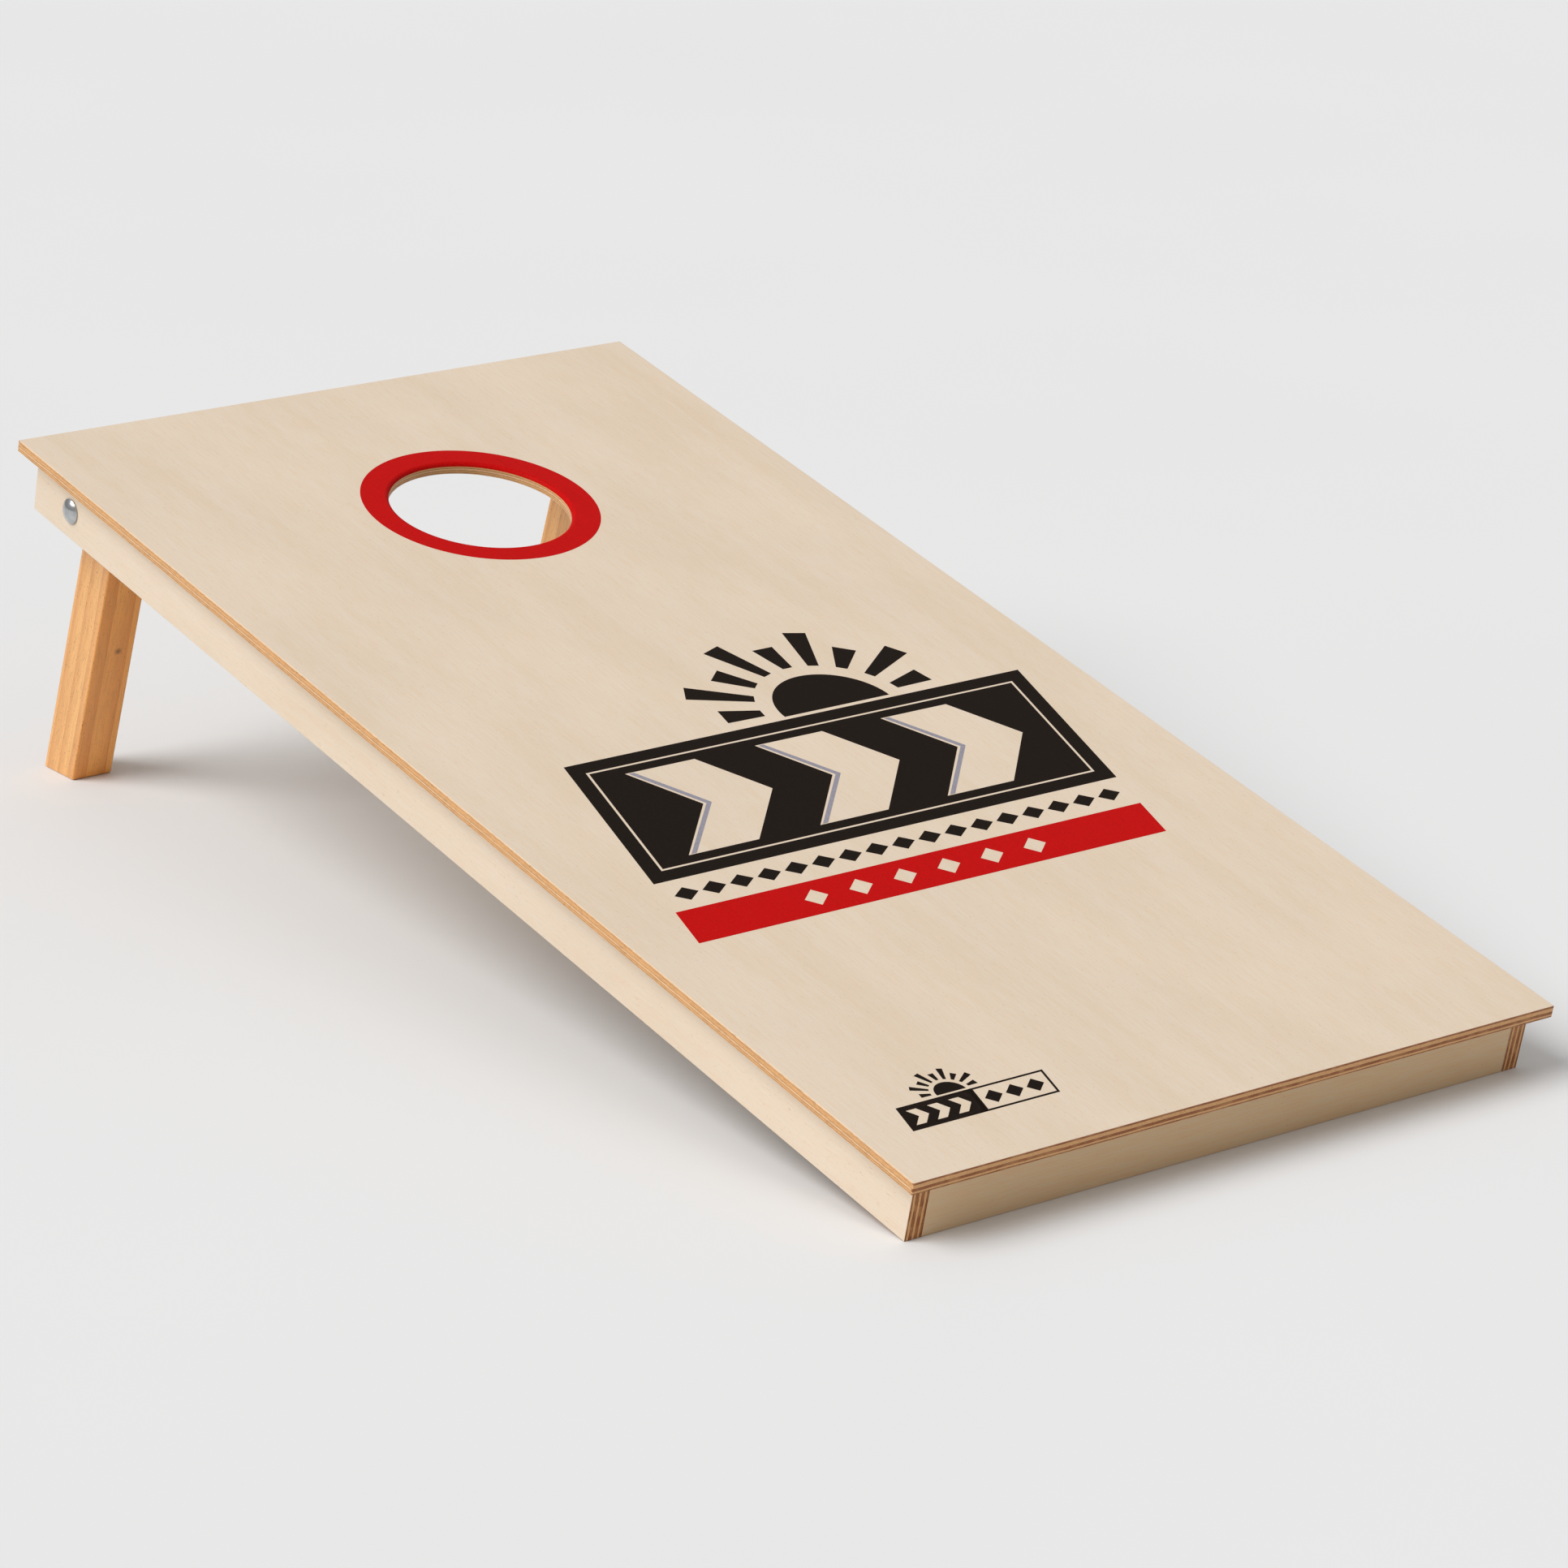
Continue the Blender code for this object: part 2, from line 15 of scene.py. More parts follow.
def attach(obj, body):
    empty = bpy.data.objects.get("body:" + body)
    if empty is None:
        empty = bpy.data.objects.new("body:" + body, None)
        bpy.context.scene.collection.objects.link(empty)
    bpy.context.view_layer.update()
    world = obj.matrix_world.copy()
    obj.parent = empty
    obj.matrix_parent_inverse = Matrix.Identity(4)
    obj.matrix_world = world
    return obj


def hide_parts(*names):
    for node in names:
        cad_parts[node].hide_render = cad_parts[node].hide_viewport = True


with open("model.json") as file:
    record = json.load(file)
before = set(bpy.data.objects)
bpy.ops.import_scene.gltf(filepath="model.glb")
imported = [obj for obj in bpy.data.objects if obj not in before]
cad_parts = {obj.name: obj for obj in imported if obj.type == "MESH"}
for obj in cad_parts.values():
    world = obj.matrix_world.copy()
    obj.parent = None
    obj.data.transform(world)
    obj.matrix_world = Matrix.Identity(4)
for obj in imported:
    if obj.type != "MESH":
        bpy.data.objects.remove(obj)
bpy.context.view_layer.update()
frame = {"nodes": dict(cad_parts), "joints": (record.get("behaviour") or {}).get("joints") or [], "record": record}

bl_info = {
    "name": "Cornhole board",
    "version": (1, 0, 0),
    "blender": (4, 5, 0),
    "location": "View3D > Sidebar > Cornhole board",
    "description": "Finishes a plywood cornhole board: inked deck, frame, folding legs and fixings",
    "category": "Object",
}

MM = 0.001
SIDES = {"left": -1, "right": 1}
MOUNTS = {mount["name"]: mount for mount in frame["record"]["mounts"]}
JOINTS = {joint["name"]: joint for joint in frame["joints"]}

# Modelling: how finely round shapes are drawn, how far a cutter runs past what it cuts, how close points
# are to be merged, and how close an edge is to a place to be picked by it
SMOOTH_ANGLE = math.radians(32)
HOLE_SEGMENTS = 144
ROUND_SEGMENTS = 48
SCREW_SEGMENTS = 20
RUN_OUT = 12 * MM
WELD = 0.001 * MM
NEAR = 0.1 * MM

# Plywood: the plies' shares of its thickness, the part of it that a glue line takes and that the plies
# waver by, and how strongly the fibre shows on a fine and on a coarse face
DECK_LAYERS = (2, 3, 3, 5, 2)
FRAME_LAYERS = (2, 3, 3, 3, 3, 3, 2)
GLUE_LINE = 0.03
PLY_WAVER = 0.03
FINE_FIGURE = 0.2
COARSE_FIGURE = 0.5

# How deep a face veneer and a sawn end reach in a pattern: all of it to the first depth, none past the second
VENEER_DEPTH = (0.18 * MM, 0.216 * MM)
SAWN_DEPTH = (1.2 * MM, 1.6 * MM)

# Fixings
BOLT_RADIUS = 4.75 * MM
BOLT_CLEARANCE = 0.3 * MM
THREAD_PITCH = 25.4 * MM / 16
SCREW_HEAD_HEIGHT = 2.0 * MM
POCKET_RADIUS = 4.75 * MM
POCKET_LENGTH = 60 * MM
POCKET_SEGMENTS = 32

# Refractive indices of varnish or clear coat, and of ink
COAT_IOR = 1.5
INK_IOR = 1.48

# The print on the deck, in board axes: a slanted column of panel, row and bar, and a small mark in front.
# A pair is a left and a right edge, and SLANT is the column's drift to the right for each metre back.
SLANT = 0.2247
COLUMN = (-195 * MM, 253 * MM)
PANEL_TOP = -26 * MM
PANEL_BOTTOM = -200.5 * MM
ROW_MIDDLE = -221 * MM
BAR_TOP = -241 * MM
BAR_BOTTOM = -284.5 * MM
SMALL_MARK = (-144.5 * MM, -11.6 * MM)
SMALL_MARK_TOP = -526 * MM
SMALL_MARK_BOTTOM = -555.3 * MM


def linear(code):
    """An sRGB hex colour as linear red, green and blue."""
    parts = [int(code[i : i + 2], 16) / 255 for i in (0, 2, 4)]
    return tuple(c / 12.92 if c <= 0.04045 else ((c + 0.055) / 1.055) ** 2.4 for c in parts)


def board_axes():
    """The board axes as a matrix, from the playing surface's own mount."""
    surface = MOUNTS["playing_surface"]
    normal = Vector(surface["axis"]).normalized()
    across = Vector((1, 0, 0))
    axes = Matrix((across, normal.cross(across), normal)).transposed().to_4x4()
    axes.translation = surface["pos_m"]
    return axes


BOARD = board_axes()
TILT = math.atan2(BOARD[2][1], BOARD[1][1])
LEAN = math.radians(JOINTS["left_leg_fold"]["range_deg"][1] - 90)


def corners(node, axes):
    """A CAD node's lowest and highest corner, measured along these axes."""
    inverse = axes.inverted()
    points = [inverse @ vertex.co for vertex in frame["nodes"][node].data.vertices]
    low = Vector([min(point[i] for point in points) for i in range(3)])
    high = Vector([max(point[i] for point in points) for i in range(3)])
    return low, high


def along_x(place, side):
    """Axes whose Z points out to one side of the board, from a place in the world."""
    axes = Vector((side, 0, 0)).to_track_quat("Z", "Y").to_matrix().to_4x4()
    axes.translation = place
    return axes


# Settings


def colour_property(name, description, code):
    return bpy.props.FloatVectorProperty(
        name=name,
        description=description,
        subtype="COLOR",
        size=3,
        min=0,
        max=1,
        default=linear(code),
    )


def length_property(name, description, default):
    return bpy.props.FloatProperty(
        name=name, description=description, subtype="DISTANCE", unit="LENGTH", min=0, default=default
    )


class CornholeBoardSizes(bpy.types.PropertyGroup):
    """Sizes of the finish that a user would change."""

    wood_ease: length_property("Sanded edge", "Radius sanded on the plywood's edges", 0.6 * MM)
    leg_round: length_property("Leg edge", "Radius on the long edges of the legs", 1.6 * MM)
    hole_round: length_property("Hole edge", "Radius routed on the hole's upper edge", 4.0 * MM)
    ring_radius: length_property("Ring radius", "Outer radius of the painted ring", 100.2 * MM)
    paint_depth: length_property("Paint depth", "How far the ring's paint runs down the hole", 3.1 * MM)
    ink_lift: length_property("Ink lift", "Air left under the ink", 0.02 * MM)
    ink_thickness: length_property("Ink thickness", "Thickness of the printed ink", 0.06 * MM)
    panel_margin: length_property("Panel margin", "Black border outside the panel's pale line", 14 * MM)
    panel_line: length_property("Panel line", "Width of the panel's pale line", 2.2 * MM)


class CornholeBoardColours(bpy.types.PropertyGroup):
    """Colours of the finish that a user would change."""

    veneer: colour_property("Veneer", "Birch face veneer", "E2D1BC")
    veneer_warm: colour_property("Warm veneer", "Warmer streaks in the face veneer", "DDC8AB")
    # Partly a browner veneer and partly painted shade: the aprons and brace take this darker copy of the veneer
    # for the shade the front apron sits in
    shaded_veneer: colour_property("Apron veneer", "Browner veneer on the aprons and brace", "D6BB96")
    ply_light: colour_property("Long-grain ply", "Plies cut along their grain", "ECBE8C")
    ply_warm: colour_property("Warm ply", "Browner long-grain plies, and the lighter end grain", "DEA76C")
    ply_dark: colour_property("End-grain ply", "Plies cut across their grain", "9A5317")
    pine: colour_property("Pine", "Varnished pine between its growth rings", "F1B56C")
    pine_ring: colour_property("Pine ring", "Late wood of the pine's growth rings", "CC7F38")
    # Painted light: a tint for the legs' flat-sawn front and back faces, standing in for the warm light bounced
    # onto them
    front_light_tint: colour_property("Pine front tint", "Golden tint of the pine's flat-sawn faces", "FFEBC8")
    red_ink: colour_property("Red ink", "Ring and bar", "C40504")
    black_ink: colour_property("Black ink", "Panel, row and small mark", "1C130D")
    grey_ink: colour_property("Grey ink", "Shaded edges of the chevrons", "98949F")
    zinc: colour_property("Zinc", "Bright zinc plating", "C9CBCC")
    floor: colour_property("Floor", "Matt studio floor", "E4E4E4")


# Materials


def add_node(tree, kind, settings=None, inputs=None):
    """Adds a shader node with its settings, and a value or a link for each named or numbered input."""
    node = tree.nodes.new(kind)
    for name, value in (settings or {}).items():
        setattr(node, name, value)
    for name, value in (inputs or {}).items():
        if isinstance(value, bpy.types.NodeSocket):
            tree.links.new(value, node.inputs[name])
        else:
            node.inputs[name].default_value = value
    return node


def new_material(name):
    """A node material by name, and its node tree and Principled shader."""
    material = bpy.data.materials.new(name)
    material.use_nodes = True
    tree = material.node_tree
    return material, tree, tree.nodes["Principled BSDF"]


def opaque(colour):
    return (*colour, 1)


def stretched(grain, width, length):
    """Mapping scales that make a noise's features this wide across the grain axis and this long on it."""
    scales = [1 / width] * 3
    scales[grain] = 1 / length
    return scales


def noise_along(tree, vector, grain, width, length, detail=3.0, distortion=0.0):
    """Noise drawn out along the grain, from 0 to 1."""
    drawn = add_node(
        tree, "ShaderNodeMapping", {}, {"Vector": vector, "Scale": stretched(grain, width, length)}
    )
    noise = add_node(
        tree,
        "ShaderNodeTexNoise",
        {},
        {"Vector": drawn.outputs[0], "Scale": 1.0, "Detail": detail, "Distortion": distortion},
    )
    return noise.outputs[0]


def tint(tree, base, colour, pattern, low, high, amount=1.0):
    """Lays a colour over a base as a pattern goes from low to high, up to an amount."""
    cover = add_node(
        tree,
        "ShaderNodeMapRange",
        {},
        {"Value": pattern, "From Min": low, "From Max": high, "To Max": amount},
    )
    mix = add_node(
        tree, "ShaderNodeMix", {"data_type": "RGBA"}, {0: cover.outputs[0], 6: base, 7: opaque(colour)}
    )
    return mix.outputs[2]


def gloss(tree, shader, pattern, span, roughness):
    """Takes a shader's roughness from one value to another as a pattern crosses a span."""
    ranged = add_node(
        tree,
        "ShaderNodeMapRange",
        {},
        {
            "Value": pattern,
            "From Min": span[0],
            "From Max": span[1],
            "To Min": roughness[0],
            "To Max": roughness[1],
        },
    )
    tree.links.new(ranged.outputs[0], shader.inputs["Roughness"])


def relief(tree, shader, height, distance, strength):
    """Gives a shader a slight relief from a pattern."""
    bump = add_node(
        tree, "ShaderNodeBump", {}, {"Height": height, "Distance": distance, "Strength": strength}
    )
    tree.links.new(bump.outputs[0], shader.inputs["Normal"])


def coordinates(tree, axes):
    """Object coordinates turned and moved into a piece's own axes."""
    source = add_node(tree, "ShaderNodeTexCoord")
    inverse = axes.inverted()
    own = add_node(
        tree,
        "ShaderNodeMapping",
        {},
        {
            "Vector": source.outputs["Object"],
            "Location": inverse.translation,
            "Rotation": inverse.to_euler(),
        },
    )
    return own.outputs[0]


def cut_edge(tree, depth, layers, first, second, glue):
    """A sawn edge's plies through a panel's depth, by turns in two colours, with glue lines between."""
    ramp = add_node(tree, "ShaderNodeValToRGB", {}, {0: depth})
    ramp.color_ramp.interpolation = "CONSTANT"
    elements = ramp.color_ramp.elements
    elements.remove(elements[1])
    elements[0].color = opaque(first)
    start = 0.0
    for i, layer in enumerate(layers[:-1]):
        start += layer / sum(layers)
        elements.new(start - GLUE_LINE).color = opaque(glue)
        elements.new(start).color = opaque(first if i % 2 else second)
    return ramp.outputs[0]


def near_faces(tree, position, low, high, reach):
    """1 near either face of a board, and 0 deeper in, along the axis across those faces."""
    middle = add_node(
        tree, "ShaderNodeMath", {"operation": "SUBTRACT"}, {0: position, 1: (low + high) / 2}
    )
    away = add_node(tree, "ShaderNodeMath", {"operation": "ABSOLUTE"}, {0: middle.outputs[0]})
    half = (high - low) / 2
    near = add_node(
        tree,
        "ShaderNodeMapRange",
        {},
        {"Value": away.outputs[0], "From Min": half - reach[1], "From Max": half - reach[0]},
    )
    return near.outputs[0]


def birch_plywood(name, colours, veneer, figure, box, stack, grain, layers):
    """Rotary-cut birch plywood, sanded and clear coated: pale, faintly figured faces, and edges whose plies
    show as bands, dark where the saw crossed their grain. The plies are stacked on one board axis, and the
    faces' grain is on another."""
    material, tree, shader = new_material(name)
    own = coordinates(tree, BOARD)
    low, high = box
    split = add_node(tree, "ShaderNodeSeparateXYZ", {}, {0: own})

    streak = noise_along(tree, own, grain, 22 * MM, 300 * MM, detail=4.0, distortion=0.5)
    cloud = noise_along(tree, own, grain, 110 * MM, 190 * MM, detail=3.0)
    fibre = noise_along(tree, own, grain, 1.1 * MM, 26 * MM, detail=3.0)
    fleck = noise_along(tree, own, grain, 0.9 * MM, 4.5 * MM, detail=1.0)
    warm = [a * b / c for a, b, c in zip(veneer, colours.veneer_warm, colours.veneer)]
    pale = [min(1, c * 1.06) for c in veneer]
    face = tint(tree, opaque(veneer), warm, streak, 0.38, 0.75, 0.6)
    face = tint(tree, face, pale, cloud, 0.4, 0.65, 0.6)
    face = tint(tree, face, colours.ply_warm, fibre, 0.4, 0.75, figure)
    face = tint(tree, face, colours.ply_dark, fleck, 0.66, 0.8, 0.28)

    depth = add_node(
        tree,
        "ShaderNodeMapRange",
        {},
        {"Value": split.outputs[stack], "From Min": low[stack], "From Max": high[stack]},
    )
    waver = noise_along(tree, own, grain, 25 * MM, 70 * MM, detail=2.0)
    shift = add_node(
        tree,
        "ShaderNodeMapRange",
        {},
        {"Value": waver, "From Min": 0.25, "From Max": 0.75, "To Min": -PLY_WAVER, "To Max": PLY_WAVER},
    )
    wavy = add_node(
        tree, "ShaderNodeMath", {"operation": "ADD"}, {0: depth.outputs[0], 1: shift.outputs[0]}
    )
    glue = [c * 0.38 for c in colours.ply_dark]
    along = cut_edge(tree, wavy.outputs[0], layers, colours.ply_light, colours.ply_warm, glue)
    across = cut_edge(tree, wavy.outputs[0], layers, colours.ply_dark, colours.ply_warm, glue)
    ends = near_faces(tree, split.outputs[grain], low[grain], high[grain], SAWN_DEPTH)
    core = add_node(tree, "ShaderNodeMix", {"data_type": "RGBA"}, {0: ends, 6: along, 7: across})
    pores = noise_along(tree, own, grain, 0.7 * MM, 4 * MM, detail=2.0)
    bleach = noise_along(tree, own, grain, 9 * MM, 40 * MM, detail=3.0)
    edge = tint(tree, core.outputs[2], glue, pores, 0.45, 0.75, 0.4)
    edge = tint(tree, edge, colours.ply_warm, bleach, 0.45, 0.65, 0.3)

    on_face = near_faces(tree, split.outputs[stack], low[stack], high[stack], VENEER_DEPTH)
    colour = add_node(tree, "ShaderNodeMix", {"data_type": "RGBA"}, {0: on_face, 6: edge, 7: face})
    height = add_node(tree, "ShaderNodeMix", {"data_type": "RGBA"}, {0: on_face, 6: pores, 7: fibre})
    tree.links.new(colour.outputs[2], shader.inputs["Base Color"])
    gloss(tree, shader, fibre, (0.2, 0.8), (0.44, 0.58))
    shader.inputs["IOR"].default_value = COAT_IOR
    relief(tree, shader, height.outputs[2], 0.12 * MM, 0.45)
    return material


def varnished_pine(name, colours, axes, box, knot):
    """Straight-grained pine under amber satin varnish: growth rings run up the leg as soft orange lines,
    with resin specks and one small knot. The flat-sawn front and back faces carry a warm tint of painted
    light, for the warm light bounced onto them. The varnish fills the grain, so its relief is slight."""
    material, tree, shader = new_material(name)
    own = coordinates(tree, axes)
    along = 2
    dark = [c * 0.3 for c in colours.pine_ring]
    off_pith = add_node(
        tree,
        "ShaderNodeMapping",
        {},
        {"Vector": own, "Location": (0.055, 0.075, 0), "Scale": (1, 1, 0.04)},
    )
    rings = add_node(
        tree,
        "ShaderNodeTexWave",
        {"wave_type": "RINGS", "rings_direction": "Z", "wave_profile": "SAW"},
        {"Vector": off_pith.outputs[0], "Scale": 22.0, "Distortion": 1.2, "Detail": 3.0, "Detail Scale": 9.0},
    )
    wood = tint(tree, opaque(colours.pine), colours.pine_ring, rings.outputs[1], 0.3, 1.0, 0.55)
    drift = noise_along(tree, own, along, 14 * MM, 120 * MM, detail=2.0)
    wood = tint(tree, wood, colours.pine_ring, drift, 0.4, 0.75, 0.3)
    split = add_node(tree, "ShaderNodeSeparateXYZ", {}, {0: own})
    # Painted light: the front and back faces are tinted warmer and redder, for the warm light bounced onto them
    front_and_back = near_faces(tree, split.outputs[1], box[0].y, box[1].y, SAWN_DEPTH)
    front_light_tint = [c * 1.1 for c in colours.front_light_tint]
    front_lit = add_node(
        tree,
        "ShaderNodeMix",
        {"data_type": "RGBA", "blend_type": "MULTIPLY"},
        {0: front_and_back, 6: wood, 7: opaque(front_light_tint)},
    )
    fibre = noise_along(tree, own, along, 0.6 * MM, 18 * MM, detail=3.0)
    specks = noise_along(tree, own, along, 1.1 * MM, 2.2 * MM, detail=1.0)
    from_knot = add_node(tree, "ShaderNodeVectorMath", {"operation": "DISTANCE"}, {0: own, 1: knot})
    wood = tint(tree, front_lit.outputs[2], dark, fibre, 0.5, 0.85, 0.5)
    wood = tint(tree, wood, dark, specks, 0.65, 0.74, 0.6)
    wood = tint(tree, wood, dark, from_knot.outputs[1], 4.0 * MM, 0.5 * MM, 0.9)
    tree.links.new(wood, shader.inputs["Base Color"])
    gloss(tree, shader, fibre, (0.2, 0.8), (0.3, 0.42))
    shader.inputs["IOR"].default_value = COAT_IOR
    shader.inputs["Coat Weight"].default_value = 0.35
    shader.inputs["Coat Roughness"].default_value = 0.22
    relief(tree, shader, fibre, 0.1 * MM, 0.35)
    return material


def screen_ink(name, colour, wear):
    """Screen-printed ink on wood: matt, with a fine speckle where the fibres below keep it thin or thick."""
    material, tree, shader = new_material(name)
    own = coordinates(tree, BOARD)
    speckle = noise_along(tree, own, 1, 1.3 * MM, 1.9 * MM, detail=3.0)
    fibre = noise_along(tree, own, 1, 1.4 * MM, 38 * MM, detail=3.0)
    thin = [c + (1 - c) * wear for c in colour]
    deep = [c * 0.66 for c in colour]
    shade = tint(tree, opaque(colour), thin, speckle, 0.55, 0.8)
    shade = tint(tree, shade, deep, speckle, 0.5, 0.25, 0.9)
    shade = tint(tree, shade, deep, fibre, 0.5, 0.8, 0.4)
    tree.links.new(shade, shader.inputs["Base Color"])
    gloss(tree, shader, speckle, (0.3, 0.7), (0.5, 0.64))
    shader.inputs["IOR"].default_value = INK_IOR
    shader.inputs["Specular IOR Level"].default_value = 0.06
    relief(tree, shader, speckle, 0.08 * MM, 0.6)
    return material


def zinc_plate(name, colour, roughness):
    """Bright zinc-plated steel: a silver metal with soft blotches from the bath and fine drawing marks."""
    material, tree, shader = new_material(name)
    source = add_node(tree, "ShaderNodeTexCoord")
    own = source.outputs["Object"]
    blotch = noise_along(tree, own, 2, 5 * MM, 5 * MM, detail=3.0)
    marks = noise_along(tree, own, 2, 0.5 * MM, 0.5 * MM, detail=2.0)
    dull = [c * 0.78 for c in colour]
    shade = tint(tree, opaque(colour), dull, blotch, 0.35, 0.7)
    tree.links.new(shade, shader.inputs["Base Color"])
    shader.inputs["Metallic"].default_value = 1.0
    gloss(tree, shader, blotch, (0.3, 0.7), (roughness, roughness + 0.14))
    relief(tree, shader, marks, 0.02 * MM, 0.4)
    return material


def studio_paper(name, colour):
    """Seamless matt background paper, with the faintest mottle."""
    material, tree, shader = new_material(name)
    source = add_node(tree, "ShaderNodeTexCoord")
    mottle = noise_along(tree, source.outputs["Object"], 2, 0.6, 0.6, detail=2.0)
    soft = [c * 0.985 for c in colour]
    shade = tint(tree, opaque(colour), soft, mottle, 0.3, 0.7)
    tree.links.new(shade, shader.inputs["Base Color"])
    shader.inputs["Roughness"].default_value = 0.95
    shader.inputs["Specular IOR Level"].default_value = 0.1
    return material


# Modelling


def begin():
    """Leaves edit mode and deselects everything, so that an operator acts only on what comes next."""
    if bpy.context.mode != "OBJECT":
        bpy.ops.object.mode_set(mode="OBJECT")
    bpy.ops.object.select_all(action="DESELECT")


def select(*objects):
    """Selects only these objects, the last one active."""
    begin()
    for obj in objects:
        obj.select_set(True)
    bpy.context.view_layer.objects.active = objects[-1]


def edit(obj, pick="SELECT"):
    """Opens an object in edit mode with all or none of it selected."""
    select(obj)
    bpy.ops.object.mode_set(mode="EDIT")
    bpy.ops.mesh.select_mode(type="EDGE")
    bpy.ops.mesh.select_all(action=pick)


def select_edges(test):
    """Selects the edges of the mesh being edited whose two ends pass a test of their place."""
    mesh = bmesh.from_edit_mesh(bpy.context.object.data)
    for edge in mesh.edges:
        edge.select_set(all(test(vertex.co) for vertex in edge.verts))
    mesh.select_flush_mode()
    bmesh.update_edit_mesh(bpy.context.object.data)


def bake_place():
    """Moves the active object's place, turn and scale into its mesh."""
    bpy.ops.object.transform_apply(location=True, rotation=True, scale=True)
    return bpy.context.object


def add_block(low, high, edge_round):
    """A box between two corners, with its edges rounded."""
    begin()
    bpy.ops.mesh.primitive_cube_add(size=1, location=(low + high) / 2, scale=high - low)
    block = bake_place()
    if edge_round:
        edit(block)
        bpy.ops.mesh.bevel(offset=edge_round, segments=3, affect="EDGES")
        bpy.ops.object.mode_set(mode="OBJECT")
    return block


def add_rod(start, direction, radius, length, segments=ROUND_SEGMENTS):
    """A round rod from a point along a direction."""
    begin()
    bpy.ops.mesh.primitive_cylinder_add(
        vertices=segments,
        radius=radius,
        depth=length,
        location=Vector(start) + Vector(direction) * length / 2,
        rotation=Vector(direction).to_track_quat("Z", "Y").to_euler(),
    )
    return bake_place()


def combine(target, other, operation="DIFFERENCE"):
    """Cuts another object from the target or joins it, and removes the other."""
    select(target)
    modifier = target.modifiers.new("combined", "BOOLEAN")
    modifier.operation = operation
    modifier.object = other
    bpy.ops.object.modifier_apply(modifier=modifier.name)
    bpy.data.objects.remove(other)
    return target


def join(pieces):
    """Makes one object of several."""
    select(*pieces)
    bpy.ops.object.join()
    return bpy.context.object


def lathe(profile, segments=ROUND_SEGMENTS):
    """Spins a profile of (radius, height) points about Z into a closed solid."""
    begin()
    bpy.ops.mesh.primitive_plane_add(size=MM)
    turned = bpy.context.object
    edit(turned)
    bpy.ops.mesh.select_mode(type="VERT")
    bpy.ops.mesh.merge(type="CENTER")
    points = [Vector((radius, 0, height)) for radius, height in profile]
    bpy.ops.transform.translate(value=points[0])
    for before, after in zip(points, points[1:]):
        bpy.ops.mesh.extrude_region_move(TRANSFORM_OT_translate={"value": after - before})
    bpy.ops.mesh.select_all(action="SELECT")
    bpy.ops.mesh.spin(steps=segments, angle=2 * math.pi, center=(0, 0, 0), axis=(0, 0, 1))
    bpy.ops.mesh.select_all(action="SELECT")
    bpy.ops.mesh.remove_doubles(threshold=WELD)
    bpy.ops.mesh.normals_make_consistent(inside=False)
    bpy.ops.object.mode_set(mode="OBJECT")
    return turned


def soften(obj, radius, sharpness):
    """Rounds every edge that is sharper than an angle in degrees."""
    edit(obj, "DESELECT")
    bpy.ops.mesh.edges_select_sharp(sharpness=math.radians(sharpness))
    bpy.ops.mesh.bevel(offset=radius, segments=3, affect="EDGES", clamp_overlap=True)
    bpy.ops.object.mode_set(mode="OBJECT")
    return obj


def arc(centre, radius, start, end, steps):
    """Points of an arc, with both ends, between two angles in degrees."""
    angles = [math.radians(start + (end - start) * i / steps) for i in range(steps + 1)]
    return [
        (centre[0] + radius * math.cos(a), centre[1] + radius * math.sin(a)) for a in angles
    ]


def finish(obj, name, axes, material, body, slot, *nodes):
    """Puts a piece where its axes are, shades it, ties it to its CAD body and hides its CAD nodes. The slot is not
    used.
    """
    select(obj)
    obj.matrix_world = axes @ obj.matrix_world
    bake_place()
    bpy.ops.object.shade_smooth_by_angle(angle=SMOOTH_ANGLE)
    flat = obj.modifiers.new("flat faces", "WEIGHTED_NORMAL")
    flat.keep_sharp = True
    bpy.ops.object.modifier_apply(modifier=flat.name)
    obj.name = obj.data.name = name
    obj.data.materials.clear()
    obj.data.materials.append(material)
    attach(obj, body)
    if nodes:
        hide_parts(*nodes)


def copy_of(obj):
    """A copy of an object with its own mesh."""
    twin = obj.copy()
    twin.data = obj.data.copy()
    bpy.context.collection.objects.link(twin)
    return twin


# The deck and its print


def hole_place():
    """The hole's middle on the playing face, in board axes, and its radius."""
    box = frame["record"]["physics"]["openings"][0]["box_m"]
    inverse = BOARD.inverted()
    centre = (inverse @ ((Vector(box[0]) + Vector(box[1])) / 2)).xy
    points = [inverse @ vertex.co for vertex in frame["nodes"]["deck"].data.vertices]
    return centre, min((point.xy - centre).length for point in points)


class CORNHOLE_OT_deck(bpy.types.Operator):
    """Make the plywood deck with its routed hole"""

    bl_idname = "cornhole.deck"
    bl_label = "Deck"

    def execute(self, context):
        sizes, colours = context.scene.cornhole_sizes, context.scene.cornhole_colours
        low, high = corners("deck", BOARD)
        centre, radius = hole_place()
        deck = add_block(low, high, sizes.wood_ease)
        start = (centre.x, centre.y, low.z - RUN_OUT)
        combine(deck, add_rod(start, (0, 0, 1), radius, high.z - low.z + 2 * RUN_OUT, HOLE_SEGMENTS))
        for level, rounding, segments in ((high.z, sizes.hole_round, 6), (low.z, sizes.wood_ease, 2)):
            edit(deck, "DESELECT")
            select_edges(
                lambda co: abs(co.z - level) < NEAR and abs((co.xy - centre).length - radius) < NEAR
            )
            bpy.ops.mesh.bevel(offset=rounding, segments=segments, affect="EDGES")
        bpy.ops.object.mode_set(mode="OBJECT")
        wood = birch_plywood(
            "birch plywood deck", colours, colours.veneer, FINE_FIGURE, (low, high), 2, 1, DECK_LAYERS
        )
        finish(deck, "deck_panel", BOARD, wood, "board", "deck_plywood", "deck")
        return {"FINISHED"}


